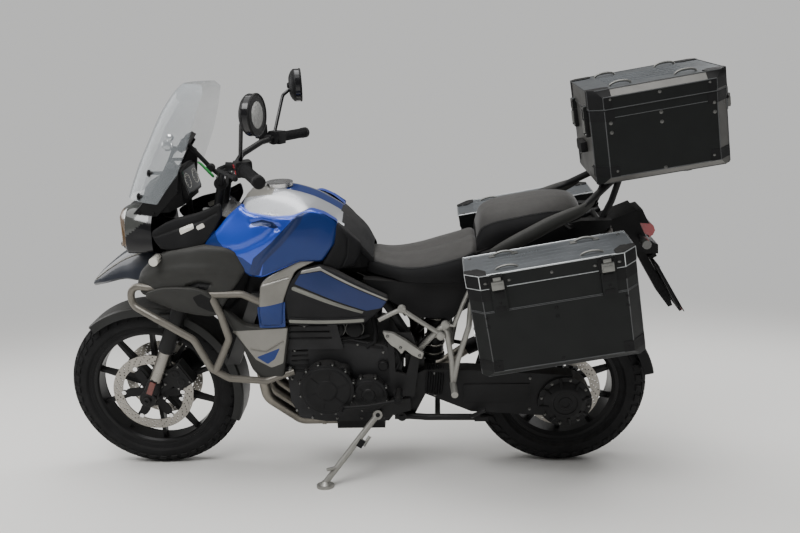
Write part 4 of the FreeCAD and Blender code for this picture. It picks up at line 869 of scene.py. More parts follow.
def tyre(name, node, centre, radius, crown, bead, bead_y, body, pitches, bands):
    """A tyre with blocks on it. bands: from and to angle off the middle, then skew, width and shift in pitches."""
    depth = 5.0
    top = radius - crown
    side = [(-bead_y + 6, bead - 6), (-bead_y - 1, bead - 3), (-bead_y - 4, bead + 3), (-bead_y - 3.2, bead + 6),
            (-bead_y - 6, bead + 12)]
    for k in range(5):
        t = k / 4
        y = -(bead_y + 6 + (crown - 1.5 - bead_y - 6) * sin(t * pi / 2))
        side.append((y, bead + 14 + (top - 8 - bead - 14) * t))
        if k in (1, 2):
            side.append((y - 0.8, side[-1][1] + 1.2))
    arc = [radians(82) * k / 9 for k in range(-9, 10)]
    over = [((crown - depth) * sin(phi), top + (crown - depth) * cos(phi)) for phi in arc]
    form = Shape().turned(side + over + [(-y, r) for y, r in reversed(side)], centre, 96).on(1)
    for p in range(pitches):
        for low, high, skew, width, shift in bands:
            for s in SIDES:
                shares = (p + shift + (0.5 if s > 0 else 0.0), width, skew)
                t, w, k = (share * 2 * pi / pitches for share in shares)
                lo, hi = s * radians(low), s * radians(high)
                corners = [(t, lo, 0), (t + w, lo, 0), (t + w + k, hi, 0), (t + k, hi, 0)]
                tread_block(form, centre, radius, crown, corners[::s], depth)
    form.build(name, [RUBBER, RUBBER], body, smooth=35, slot="tyre_rubber", replaces=node)


tyre("front_tyre_tread", "front_tyre", FRONT, FRONT_R, 55.0, 241.5, 40.0, "front_wheel", 44,
     [(4, 27, 0.55, 0.74, 0.0), (31, 52, 0.35, 0.68, 0.3), (56, 74, 0.2, 0.60, 0.45)])
tyre("rear_tyre_tread", "rear_tyre", REAR, REAR_R, 75.0, 216.5, 56.0, "rear_wheel", 42,
     [(3, 22, 0.5, 0.78, 0.0), (25.5, 45, 0.4, 0.72, 0.3), (48.5, 69, 0.25, 0.62, 0.5)])


# Boxes

def box_frame(x, z, tilt, inner, high):
    return (Matrix.Translation((x, 0, z)) @ Matrix.Rotation(-radians(tilt), 4, "Y")
            @ Matrix.Translation((0, -inner, -high)))


# The side boxes' length, depth across and lid line, and the top box's length and half width
SIDE_M = box_frame(404.0, 903.0, 9.0, 265.0, 345.0)
TOP_M = box_frame(846.0, 1116.0, 8.5, 0.0, 0.0)
LONG, WIDE, LID_LOW = 515.0, 200.0, 299.0
TOP_LONG, TOP_HALF = 425.0, 200.0


def level(line, z):
    return [(a, b, z) for a, b in line]


def rivet(form, x, y, z, direction, r=4.6):
    form.spun([(-0.5, r * 1.3), (0.6, r * 1.3), (0.9, r), (2.4, r * 0.86), (3.2, r * 0.45), (3.4, 0.0)], (x, y, z),
              direction, 14)


def handle(form, x, y, z, high, r):
    """A loop to tie luggage to."""
    arc = [pi * k / 8 for k in range(9)]
    form.tube([(x - 34 * cos(t), y, z + high * sin(t)) for t in arc], r, 10)


def latch(form, at, out, along, slots=(0, 1, 2)):
    """A draw latch: base plate, lever, hook and its two bright rivets."""
    m = placed((along, out, Z_DIR), at)
    lever, plate, bright = slots
    form.on(plate).block((-27, 0, -36), (27, 4, 30), 1.2, m)
    form.on(lever).block((-19, 3, -30), (19, 15, 14), 3.0, m)
    form.block((-15, 12, -26), (15, 17, 2), 1.8, m)
    form.block((-12, 3, 14), (12, 11, 34), 2.0, m)
    form.on(plate).block((-17, 2, 30), (17, 8, 42), 1.5, m)
    for dx in (-36, 36):
        form.on(bright).spun([(-1, 6.5), (1.5, 6.5), (3.0, 5.0), (4.6, 3.8), (5.0, 0.0)], m @ V(dx, 0, 6), out, 16)


def far_end(line):
    """A corner line of a side box's front end, mirrored to its rear end."""
    return [(LONG - a, b) for a, b in reversed(line)]


def side_box_dress(side):
    word = "left" if side < 0 else "right"
    out = V(0, -1, 0)
    y = -WIDE
    c = 40.0
    form = Shape()
    for x in (92.5, LONG - 92.5):
        form.on(1).block((x - 16, y - 11, 268), (x + 16, y - 8.5, 290), 0.8)
        form.block((x - 16, y - 11, 226), (x + 16, y - 8.5, 240), 0.8)
        rivet(form, x, y - 9, 252, out, 3.4)
    for x, z in ((44, 206), (44, 176), (LONG / 2, 206), (LONG / 2, 176), (LONG - 44, 206), (LONG - 44, 176), (56, 40),
                 (LONG / 2, 34), (LONG - 56, 40)):
        rivet(form, x, y - 0.2, z, out)
    for z in (60, 120, 200, 262):
        for x, s in ((0, -1), (LONG, 1)):
            for inset in (120, 70):
                rivet(form, x, y + inset, z, (s, 0, 0))
    form.slot = 3
    for z in (222.0, 226.0):
        form.tube([(0, y + c, z), (c, y - 0.4, z), (LONG - c, y - 0.4, z), (LONG, y + c, z)], 1.2, 8)
    for inset, z in ((0, 22.0), (22, 0.6)):
        form.tube([(c - inset, y + inset, z), (LONG - c + inset, y + inset, z)], 1.8, 8)
    for x, q in ((c, y), (LONG - c, y), (0, y + c), (LONG, y + c)):
        form.tube([(x, q, 22 if q == y else 4), (x, q, LID_LOW - 6)], 1.6, 8)
    form.slot = 4
    near = [(-1.6, y + c + 30), (-1.6, y + c - 0.6), (c - 0.6, y - 1.6), (c + 30, y - 1.6)]
    for line in (near, far_end(near)):
        inner = [(a + (1.6 if a < 100 else -1.6) * 0.9, b + 1.8) for a, b in line]
        for z0, z1 in ((22.5, 58.0), (262.0, 298.5)):
            form.grid([level(inner, z0), level(line, z0), level(line, z1), level(inner, z1)])
    form.place(SIDE_M, side > 0).build(word + "_box_fittings", [BOLT, BLACK, BOLT, BOX_EDGE, BLACK, BOX])

    lid = Shape()
    c = 41.0
    x0, x1, y0 = -2.0, LONG + 2.0, -WIDE - 2.0
    loop = [(x0, 0.0), (x0, y0 + c), (x0 + c, y0), (x1 - c, y0), (x1, y0 + c), (x1, 0.0)]
    lid.tube(level(loop, 345.2), 2.3, 8).tube(level(loop, 301.0), 1.5, 8)
    lid.tube([(x0, 0, 345.2), (x1, 0, 345.2)], 2.3, 8)
    for a, b in ((x0 - 0.6, y0 + c), (x0 + c, y0 - 0.6), (x1 + 0.6, y0 + c), (x1 - c, y0 - 0.6)):
        lid.tube([(a, b, 302.0), (a, b, 344.0)], 1.7, 8)
    lid.slot = 1
    ends = c + 24
    near = [(x0 - 1.5, y0 + ends), (x0 - 1.5, y0 + c - 0.6), (x0 + c - 0.6, y0 - 1.5), (x0 + ends, y0 - 1.5)]
    cap = [(x0 - 1, y0 + ends), (x0 - 1, y0 + c), (x0 + c, y0 - 1), (x0 + ends, y0 - 1), (x0 + ends, y0 + 34),
           (x0 + 40, y0 + ends)]
    far_cap = far_end(cap)
    for line, top, inward in ((near, cap, 2), (far_end(near), far_cap[2:] + far_cap[:2], -2)):
        lid.grid([level(line, 306.0), level(line, 344.0), [(a + inward, b + 2, 348.4) for a, b in line]])
        lid.cap(level(top, 348.2))
        lid.grid([level(top, 345.0), level(top, 348.2)], closed=True)
    lid.slot = 2
    for x in (128.0, LONG - 128.0):
        handle(lid, x, -34.0, 344.0, 13, 4.4)
        for dx in (-46, 26):
            lid.block((x + dx, -46, 344.5), (x + dx + 20, -22, 349), 1.5)
    for x in (128.0, LONG - 128.0):
        handle(lid, x, y0 + 36.0, 344.0, 11, 3.6)
    lid.slot = 3
    for y in (-52, -84, -116, -148):
        lid.tube([(60, y, 345.0), (LONG - 60, y, 345.0)], 1.3, 6)
    lid.slot = 4
    for x in (20, LONG - 20):
        for y in (-20, -WIDE + 60):
            rivet(lid, x, y, 345.2, Z_DIR)
    rivet(lid, LONG / 2, -WIDE - 2.2, 322.0, out, 3.6)
    for x in (92.5, LONG - 92.5):
        clasp = Shape()
        latch(clasp, (x, 0.0, 0.0), out, X_DIR, (5, 1, 4))
        clasp.v = [(a, -WIDE - 2.0 + b, q * 0.62 + 316.0) for a, b, q in clasp.v]
        lid.merge(clasp)
    lid.place(SIDE_M, side > 0).build(word + "_lid_fittings", [TRIM, BLACK, LATCH, LID, BOLT, LATCH],
                                      word + "_lid_body")


for side in SIDES:
    side_box_dress(side)
for node_name in ("left_side_box", "right_side_box"):
    dress(node_name, BOX)
    bevel(node_name, 2.2)
for node_name in ("left_box_lid", "right_box_lid"):
    paint(node_name, [BOX, LID], lambda p, n: 1 if n.z > 0.7 else 0)
    bevel(node_name, 2.5)


def eight_sides(x0, x1, half, c):
    """A top box's outline with its corners cut by c."""
    return [(x0, c - half), (x0 + c, -half), (x1 - c, -half), (x1, c - half), (x1, half - c), (x1 - c, half),
            (x0 + c, half), (x0, half - c)]


def corner_lines(x0, x1, half, c, reach):
    """A line round each corner of a top box, with the corner's signs along and across."""
    for sx in SIDES:
        for sy in SIDES:
            yield sx, sy, [(x0 + a if sx < 0 else x1 - a, sy * (half - b))
                           for a, b in ((-1.6, c + reach), (-1.6, c - 0.6), (c - 0.6, -1.6), (c + reach, -1.6))]


def top_box_dress():
    half, c = TOP_HALF, 40.0
    form = Shape()
    for s in SIDES:
        for x, z in ((56, 196), (56, 166), (TOP_LONG / 2, 204), (TOP_LONG / 2, 174), (TOP_LONG - 50, 206),
                     (TOP_LONG - 50, 176), (62, 40), (TOP_LONG - 60, 40), (TOP_LONG / 2, 26)):
            rivet(form, x, s * (half + 0.1), z, (0, s, 0))
    for y in (-110, 110):
        for z in (50, 180):
            rivet(form, TOP_LONG, y, z, (1, 0, 0))
            rivet(form, 0, y, z, (-1, 0, 0))
    loop = eight_sides(0, TOP_LONG, half, c)
    form.on(1).tube(level(loop + loop[:1], 212.0), 1.3, 8)
    for s in SIDES:
        for inset, z in ((0, 22.0), (22, 0.5)):
            form.tube([(c - inset, s * (half - inset), z), (TOP_LONG - c + inset, s * (half - inset), z)], 1.8, 8)
    for a, b in loop:
        form.tube([(a, b, 22 if abs(b) == half else 4), (a, b, 234.5)], 1.8, 8)
    form.slot = 2
    for sx, sy, line in corner_lines(0, TOP_LONG, half, c, 30):
        inner = [(a - sx * 1.5, b - sy * 1.5) for a, b in line]
        for z0, z1 in ((22.5, 58.0), (204.0, 238.0)):
            for low, high in ((level(line, z0), level(line, z1)), (level(line, z1), level(inner, z1)),
                              (level(inner, z0), level(line, z0))):
                form.grid([low, high], flip=sx * sy > 0)
    for y in (-109, 111):
        latch(form, (TOP_LONG + 8, y, 200.0), X_DIR, Y_DIR)
    for y in (-109, 111):
        form.on(2).block((-13, y - 24, 150), (0.5, y + 24, 214), 3.0)
        form.on(3).block((-17, y - 15, 164), (-12, y + 15, 204), 2.0).on(0)
        for dy in (-19, 19):
            rivet(form, -13, y + dy, 158, (-1, 0, 0), 3.6)
    form.on(2).block((-22, -46, 84), (0.5, 46, 120), 6.0)
    form.place(TOP_M).build("top_box_fittings", [BOLT, BOX_EDGE, BLACK, LATCH])

    lid = Shape()
    x0, x1, h, c = -2.0, TOP_LONG + 2.0, half + 2.0, 41
    loop = eight_sides(x0, x1, h, c)
    lid.tube(level(loop + loop[:1], 240.0), 1.5, 8)
    for s in SIDES:
        lid.tube([(x0 + c, s * h, 278.0), (x1 - c, s * h, 278.0)], 1.8, 8)
        lid.tube([(x0 + 19, s * (h - 22), 300.0), (x1 - 19, s * (h - 22), 300.0)], 2.0, 8)
    for x in (x0, x1):
        lid.tube([(x, c - h, 300.0), (x, h - c, 300.0)], 2.0, 8)
    for a, b in loop:
        lid.tube([(a, b, 241), (a, b, 278 if abs(b) == h else 299)], 1.8, 8)
    lid.slot = 1
    for sx, sy, line in corner_lines(x0, x1, h, c, 26):
        turned = sx * sy > 0
        cap = [line[0], line[1], (x0 + 19 if sx < 0 else x1 - 19, sy * (h - 21)), (line[3][0], sy * (h - 21))]
        lid.grid([level(line, 246.0), level(line, 277.6), level(cap, 300.4),
                  [(a, b - sy * 1.5, 302.6) for a, b in cap]], flip=turned)
        back = [(cap[3][0], cap[3][1] - sy * 34), (cap[0][0] - sx * 52, cap[0][1])]
        cap = [(a, b - sy * 1.5) for a, b in cap] + back
        lid.cap(level(cap, 302.6), flip=turned)
        lid.grid([level(cap, 299.5), level(cap, 302.6)], closed=True, flip=turned)
    lid.slot = 2
    for y in (-128, 128):
        for x in (110, TOP_LONG - 110):
            handle(lid, x, y, 300.0, 12, 4.0)
    lid.slot = 3
    for y in (-80, -40, 0, 40, 80):
        lid.tube([(80, y, 300.2), (TOP_LONG - 80, y, 300.2)], 1.5, 6)
    lid.slot = 4
    for s in SIDES:
        for x, z in ((TOP_LONG / 2, 268.0), (60, 270.0), (TOP_LONG - 60, 270.0)):
            rivet(lid, x, s * (h + 0.1), z, (0, s, 0), 4.2)
    lid.place(TOP_M).build("top_lid_fittings", [BOX_EDGE, BLACK, LATCH, LID, BOLT], "top_lid_body")


def banded(n):
    """Faces of the top box that wear its darker band."""
    return n.x < -0.9 or (n.x > 0.5 and abs(n.y) > 0.5)


top_box_dress()
paint("top_box", [BOX, BOX_BAND], lambda p, n: 1 if n.z < -0.5 or banded(n) else 0)
bevel("top_box", 2.2)
paint("top_box_lid", [BOX, LID, BOX_BAND], lambda p, n: 1 if n.z > 0.9 else (2 if n.z > 0.5 or banded(n) else 0))
bevel("top_box_lid", 3.0)


# Painted frame pieces

STEER = V(sin(RAKE), 0.0, cos(RAKE))
AHEAD = V(-cos(RAKE), 0.0, sin(RAKE))


def leg_point(along, side, ahead=0.0, out=0.0):
    """A point on a fork leg, measured up the leg from the axle."""
    return FRONT + V(0, side * (105.0 + out), 0) + STEER * along + AHEAD * ahead


# Frame nodes of one material, with the width and the segments of their bevel
for node_name, look, *edge in (
        ("front_rim", WHEEL, 2.6), ("rear_rim", WHEEL, 2.6), ("handlebar", FRAME_BLACK), ("hand_controls", GRIP, 1.2),
        ("mirrors", GLOSS_BLACK, 2.5, 3), ("device_holder", BLACK, 3.0), ("front_mudguard", MUDGUARD, 2.0),
        ("front_calipers", ENGINE_DARK, 3.0), ("main_frame", FRAME_BLACK), ("nose_stay", FRAME_BLACK),
        ("engine", ENGINE, 4.0, 3), ("radiator", MESH_GREY), ("crash_bars", TUBE_GREY), ("tail_panels", BLACK, 4.0),
        ("fuel_cap", POLISHED, 2.0, 3), ("instrument_panel", BLACK, 5.0, 3), ("rear_rack", FRAME_BLACK),
        ("swingarm", ENGINE_DARK, 5.0, 3), ("rear_shock", FRAME_BLACK), ("rear_hugger", BLACK, 2.0),
        ("side_stand", SATIN, 1.2), ("centre_stand", FRAME_BLACK, 1.2)):
    dress(node_name, look)
    if edge:
        bevel(node_name, *edge)

# Frame nodes of several materials
paint("front_fork", [STEEL, FRAME_BLACK, POLISHED],
      lambda p, n: 2 if n.dot(STEER) > 0.9 and p.z > 1000 else (0 if p.z < 715 and abs(p.y) < 131 and
                                                                 (p - FRONT).length > 55 else 1))
bevel("front_fork", 1.5)
paint("exhaust_headers", [HEADER, ENGINE_DARK], lambda p, n: 1 if p.x > -74 and p.z < 240 and abs(p.y) < 90 else 0)
paint("silencer", [POLISHED, BLACK], lambda p, n: 1 if p.x > 842 or p.x < 474 else 0)
bevel("silencer", 2.0)
paint("subframe", [FRAME_BLACK, CAST], lambda p, n: 1 if abs(p.y) > 96 else 0)
paint("footpeg_hangers", [FRAME_BLACK, SATIN, BLACK],
      lambda p, n: 2 if abs(p.y) > 206 and p.x < 190 and p.z < 396 else (1 if p.x > 262 else 0))
bevel("footpeg_hangers", 1.5)
paint("rear_mudguard", [BLACK, PALE_LENS], lambda p, n: 1 if n.x > 0.3 and p.x > 1064 and 600 < p.z < 812 else 0)
bevel("rear_mudguard", 2.0)
paint("tail_light", [RED, BLACK], lambda p, n: 1 if p.z > 951 else 0)
bevel("tail_light", 3.0, 3)
paint("indicators", [PALE_LENS, BLACK, SMOKED],
      lambda p, n: (1 if abs(p.y) < 224 else 0) if p.x < 0 else (1 if abs(p.y) < 136 else 2))
bevel("indicators", 3.0, 3)


# Brake discs

def drilled_plate(form, centre, loops, half):
    """A flat plate across the axle, half thick to each side: the first loop is its outline, the others are holes."""
    flat, faces = cut_sheet(loops, 0.01)
    faces = facing_up(faces, flat)
    for y, turned in ((-half, faces), (half, [f[::-1] for f in faces])):
        form.add([(centre.x + q.x, centre.y + y, centre.z + q.y) for q in flat], turned)
    for k, loop in enumerate(loops):
        form.grid([[(centre.x + a, centre.y + y, centre.z + b) for a, b in loop] for y in (-half, half)],
                  closed=True, flip=k == 0)


def circle(radius, n, at=(0.0, 0.0)):
    return [(at[0] + radius * cos(t), at[1] + radius * sin(t)) for t in angles(n)]


def brake_disc(form, axle, y, outer, hub_r):
    """A drilled ring on a carrier with arms and a bobbin at each arm's end."""
    centre = axle + V(0, y, 0)
    half, arms, holes = 2.5, 6, 30
    ring = [circle(outer, 96), circle(outer - 36, 96)]
    for inset, turn in ((7.0, 0.0), (14.5, 0.35), (22.0, 0.7), (29.5, 0.05)):
        for k in range(holes):
            a = 2 * pi * (k + turn) / holes
            r = outer - inset
            ring.append(circle(2.7, 8, (r * cos(a), r * sin(a))))
    drilled_plate(form.on(0), centre, ring, half)
    star = []
    for t in angles(arms * 24):
        lobe = max(0.0, cos(arms * t)) ** 0.55
        r = hub_r + 18 + (outer - 44 - hub_r - 18) * lobe
        star.append((r * cos(t), r * sin(t)))
    drilled_plate(form.on(1), centre, [star, circle(hub_r, 48)], half + 0.8)
    s = copysign(1, y)
    for a in angles(arms):
        form.on(2).spun([(-5, 5.0), (-5, 8.5), (-3.4, 9.0), (3.4, 9.0), (5, 8.5), (5, 5.0)],
                        centre + V((outer - 40) * cos(a), 0, (outer - 40) * sin(a)), Y_DIR, 16)
        at = centre + V((hub_r + 9) * cos(a + 0.5), 0, (hub_r + 9) * sin(a + 0.5))
        form.bolt(at + V(0, 3.4 * s, 0), (0, s, 0), 4.2, 4.5)


for word, axle, body, node_name, offsets, outer, hub_r in (
        ("front_disc_set", FRONT, "front_wheel", "front_discs", (-65.5, 65.5), 152.5, 38.0),
        ("rear_disc_set", REAR, "rear_wheel", "rear_disc", (-70.5,), 141.0, 46.0)):
    discs = Shape()
    for y in offsets:
        brake_disc(discs, axle, y, outer, hub_r)
    discs.build(word, [STEEL, ENGINE_DARK, CHROME], body, smooth=30, slot="disc_steel", replaces=node_name)


# Wheel and fork trim

def wheel_trim(name, body, centre, rim_r, half, hub_r, faces):
    """A rounded lip on each side of the rim, its valve, and a ring on each of the hub's faces."""
    form = Shape()
    for s in SIDES:
        lip = [(s * (half + 1.5), rim_r - 9), (s * (half + 2.6), rim_r - 4), (s * (half + 2.2), rim_r + 1),
               (s * (half - 1), rim_r + 2.5)]
        form.turned(lip[::s], centre, 96)
    a = radians(62)
    foot = centre + V(cos(a), 0, sin(a)) * (rim_r - 24)
    stem = [foot + V(-r * cos(a), y, -r * sin(a)) for r, y in ((0, 8), (14, 14), (24, 19))]
    form.on(1).tube(stem[:2], 3.0, 10).tube(stem[1:], 4.0, 10).on(0)
    for y in faces:
        s = 1 if y > 0 else -1
        ring = [(y, hub_r * 0.42), (y + s * 3, hub_r * 0.46), (y + s * 3, hub_r * 0.86), (y, hub_r * 0.92)]
        form.turned(ring[::s], centre, 40)
    form.build(name, [WHEEL, POLISHED], body, smooth=35)


wheel_trim("front_wheel_trim", "front_wheel", FRONT, 234.0, 39.0, 38.0, (-72.0, 72.0))
wheel_trim("rear_wheel_trim", "rear_wheel", REAR, 209.0, 55.0, 46.0, (58.0,))

fork = Shape()
for side in SIDES:
    fork.on(1).spun([(-6, 23.6), (-6, 27.5), (-3, 30.5), (14, 30.5), (18, 28.6)], leg_point(398, side),
                    STEER, 32)
    fork.spun([(0, 30), (0, 33), (26, 33), (30, 30)], leg_point(640, side), STEER, 32)
    for height in (508, 722):
        fork.bolt(leg_point(height, side, -30, 10), (1, 0, 0), 4.5, 8)
    top = leg_point((1033.0 - FRONT.z) / STEER.z, side)
    fork.on(2).spun([(-1, 27.0), (2, 27.0), (3.5, 25.5), (3.5, 14), (9, 13), (9, 8), (6, 7), (6, 0.0)], top,
                    STEER, 28)
    fork.on(0).spun([(0, 23.2), (0, 28.5), (4, 29.5), (96, 27.5), (188, 27.5), (190, 23.2)],
                    leg_point(206, side), STEER, 32)
    fork.spun([(-26, 24), (-22, 28.5), (62, 28.5), (72, 27.0), (76, 23.2)], leg_point(0, side), STEER, 32)
    fork.spun([(-24, 30.4), (-20, 32.5), (20, 32.5), (24, 30.4)], leg_point(0, side), (0, 1, 0), 32)
    fork.spun([(0, 14), (6, 14), (9, 12), (9, 7), (4, 7), (4, 0.0)], leg_point(0, side, 0, 27),
              (0, side, 0), 20)
    fork.bolt(leg_point(-24, side, 4, 12), (-1, 0, -0.4), 4.5, 6)
    fork.bolt(leg_point(-14, side, 22, 10), (-1, 0, 0.4), 4.5, 6)
    for slot, wide, across, high, out in ((3, 11, 5, 26, 31), (1, 13, 7, 29, 25)):
        fork.on(slot).block((-wide, 0, -high), (wide, across, high), 2.2,
                            placed((AHEAD, Y_DIR, STEER), leg_point(52, side, 2, out)))
fork.build("fork_trim", [FRAME_BLACK, BLACK, POLISHED, DULL_RED], "steering_assembly", smooth=35)


# Nose: beak, lamp, side trims, screen and dash

BEAK_COLUMNS = [
    (-950, [(0, 760), (5, 759), (10, 756), (13, 752), (13, 749)]),
    (-925, [(0, 788), (14, 785), (24, 776), (30, 766), (31, 759)]),
    (-886, [(0, 822), (20, 817), (36, 804), (48, 786), (53, 772)]),
    (-812, [(0, 876), (32, 868), (58, 848), (78, 820), (87, 797)]),
    (-740, [(0, 912), (44, 902), (82, 878), (112, 842), (128, 806)]),
    (-668, [(0, 934), (50, 923), (94, 898), (130, 856), (150, 808)]),
]
beak_rows = patch(sections(BEAK_COLUMNS, -1))
beak = Shape().grid(beak_rows)
for row, turned in ((beak_rows[0], True), (beak_rows[-1], False)):
    low = row[-1]
    beak.grid([row, [(low.x, q.y * 0.35, (q.z + low.z) / 2) for q in row]], flip=turned)
rim = [row[-1] for row in beak_rows]
beak.grid([rim, [(q.x + 4, q.y + 4, q.z - 7) for q in rim], [(q.x + 8, q.y * 0.5, q.z - 5) for q in rim],
           [(q.x + 8, 0.0, q.z - 3) for q in rim]])
# A thin silver-grey tube along the beak's crown: a painted highlight, standing in for light caught on the dark beak.
painted_highlight_line = [(row[11].x, row[11].y - 0.5, row[11].z + 0.5) for row in beak_rows[3:-2]]
beak.on(1).tube(painted_highlight_line, [1.0] + [2.4] * (len(painted_highlight_line) - 2) + [1.0], 8)
beak.build("beak_shell", [NIGHT, SILVER_GREY], smooth=60, slot="body_blue", mirror=True, replaces="beak")

LAMP_COLUMNS = [
    (-802, [(0, 1010), (40, 1018), (80, 1014), (108, 990), (120, 950), (116, 918), (70, 912), (0, 908)]),
    (-786, [(0, 1034), (44, 1042), (88, 1036), (120, 1008), (134, 958), (130, 912), (76, 904), (0, 900)]),
    (-752, [(0, 1050), (48, 1058), (96, 1052), (130, 1022), (146, 966), (142, 908), (82, 898), (0, 894)]),
    (-706, [(0, 1056), (50, 1062), (102, 1054), (140, 1018), (152, 964), (150, 910), (86, 898), (0, 894)]),
    (-658, [(0, 1058), (52, 1062), (104, 1048), (142, 1008), (154, 960), (152, 912), (88, 902), (0, 898)]),
]
lamp_rows = patch(sections(LAMP_COLUMNS, -1), 9, 8)
lamp = Shape().grid(lamp_rows)
WAVE = ((-830, -790, -773, -725, -686, -640), (915, 925, 950, 985, 1012, 1020))


def lamp_bend(x, y):
    """The lamp's mouth curves back towards its sides."""
    return x + 34 * (min(130.0, abs(y)) / 120) ** 2.4 * min(1.0, max(0.0, (-752 - x) / 50))


for i, face in enumerate(lamp.f):
    middle = sum((Vector(lamp.v[k]) for k in face), Vector()) / len(face)
    if abs(middle.y) > 62 and middle.z > np.interp(middle.x, *WAVE) and middle.x < -668:
        lamp.m[i] = 2 if middle.x < -772 else 1
lamp.v = [(lamp_bend(x, y), y, z) for x, y, z in lamp.v]
mouth = [(lamp_bend(q.x, q.y), q.y, q.z) for q in lamp_rows[0]]
lamp.grid([mouth, [(x + 1, y * 0.975, z + (965 - z) * 0.03) for x, y, z in mouth],
           [(x + 16, y * 0.96, z + (965 - z) * 0.05) for x, y, z in mouth]], flip=True)
back = lamp_rows[-1]
lamp.grid([back, [(x, y * 0.5, z + (965 - z) * 0.4) for x, y, z in back], [(x, 0.0, 965.0) for x, y, z in back]])
lamp.build("headlight_shell", [GLOSS_BLACK, SMOKED, BROWN], smooth=60, slot="black_plastic", mirror=True,
           replaces="headlight")

LENS_RING = rounded([(-18, 926), (-18, 1004), (-50, 1016), (-92, 1008), (-112, 984), (-120, 946), (-112, 926),
                     (-60, 920)], 14, 4)
LENS_MID = V(-66, 966)


def lamp_ring(sunk, share):
    """The lamp glass's outline, sunk and scaled: the glass curves back towards the side."""
    ring = [LENS_MID + (q - LENS_MID) * share for q in LENS_RING]
    return [(-806 + sunk + 34 * (abs(q.x) / 120) ** 2.4 + 0.10 * (q.y - 940), q.x, q.y) for q in ring]


Shape().grid([lamp_ring(0.0, share) for share in (1.0, 0.86, 0.62, 0.34, 0.02)], closed=True).build(
    "lamp_glass", [LENS], smooth=80, slot="lens", mirror=True, replaces="headlight_lens")
flat, faces = cut_sheet([[(y, z) for x, y, z in mouth], LENS_RING], 0.05)
Shape().add([(lamp_bend(-802.0, q.x) + 10 + 0.06 * (q.y - 940), q.x, q.y) for q in flat], faces).build(
    "lamp_mask", [GLOSS_BLACK], mirror=True)
inner = Shape().on(1)
for rings in (((-3.0, 1.10), (-3.0, 1.0)), ((0.5, 1.0), (0.5, 0.96))):
    inner.grid([lamp_ring(*ring) for ring in rings], closed=True)
inner.grid([lamp_ring(-3.0, 1.10), lamp_ring(16.0, 1.14)], closed=True, flip=True)
bowl = ((0.5, 0.96), (14, 0.90), (26, 0.72), (34, 0.44), (36, 0.16), (36, 0.02))
inner.on(0).grid([lamp_ring(*ring) for ring in bowl], closed=True)
BULB = (-774, -58, 966)
inner.on(2).spun([(0, 24), (-3, 27), (-6, 27), (-8, 24), (-12, 14), (-13, 0.0)], BULB, X_DIR, 28)
inner.on(0).spun([(-4, 34), (-9, 33), (-9, 29), (-2, 28)], BULB, X_DIR, 28)
inner.build("lamp_inside", [REFLECTOR, BROWN, DISPLAY], smooth=60, mirror=True)

TRIM_EDGE = [(-655, 985), (-602, 1016), (-558, 1033), (-487, 1048), (-436, 1066), (-407, 1082), (-402, 1040),
    (-440, 976), (-494, 914), (-535, 939), (-592, 927), (-622, 934), (-646, 958)]
TRIM_DEPTH = [(-655, 985, -158), (-602, 1016, -160), (-558, 1033, -162), (-487, 1048, -160), (-407, 1082, -158),
    (-402, 1040, -166), (-440, 976, -182), (-494, 914, -196), (-535, 939, -200), (-592, 927, -192),
    (-640, 950, -172), (-540, 990, -180)]
panel("nose_side_trims", TRIM_EDGE, TRIM_DEPTH, [BLACK, PALE_LENS, GLOSS_BLACK], edge=9, crown=5, thick=10,
    step=8,
    grooves=[([(-640, 972), (-560, 1000), (-470, 1024), (-420, 1050)], 6.0, -4.0)],
    zones=[([(-550, 1000), (-504, 1017), (-497, 1001), (-545, 981)], 1),
        ([(-492, 1006), (-468, 1018), (-460, 1004), (-486, 994)], 1)])

SCREEN_ROWS = ((1082, -768, -623, 165), (1131, -747, -584, 170), (1181, -724, -541, 172),
    (1230, -698, -518, 170), (1279, -670, -496, 165), (1328, -643, -478, 158), (1375, -614, -462, 148),
    (1412, -586, -450, 135), (1440, -562, -440, 118), (1461, -536, -450, 84), (1464, -532, -470, 60))


def screen_sheet(back):
    """The screen's surface; it sweeps back from the middle to its edges."""
    shares = [k / 10 for k in range(-10, 11)]
    return [[(nose_x + (edge_x - nose_x) * abs(s) ** 2.2 + back, half * s, z) for s in shares]
            for z, nose_x, edge_x, half in SCREEN_ROWS]


sheets = [screen_sheet(0.0), screen_sheet(4.0)]
screen = Shape().grid(sheets[0]).grid(sheets[1], flip=True)
screen.grid([border(sheet) for sheet in sheets], closed=True)
screen.build("screen_sheet", [SCREEN], smooth=60, slot="clear_screen", replaces="windscreen")

clamp = Shape()
clamp.spun([(-12, 10), (-11, 16), (-3, 19), (6, 19), (12, 14), (14, 0.0)], (-588, -80, 1266), (0.3, -1, 0.2), 24)
clamp.spun([(-9, 7), (-8, 11), (8, 11), (10, 8), (10, 0.0)], (-578, -72, 1292), (0, -1, 0.4), 20)
clamp.on(1).tube([(-588, -76, 1266), (-576, -68, 1256), (-560, -58, 1250)], 7.0, 10)
clamp.tube([(-588, -76, 1266), (-578, -70, 1292)], 5.0, 10)
clamp.build("screen_clamp", [CHROME, BLACK])

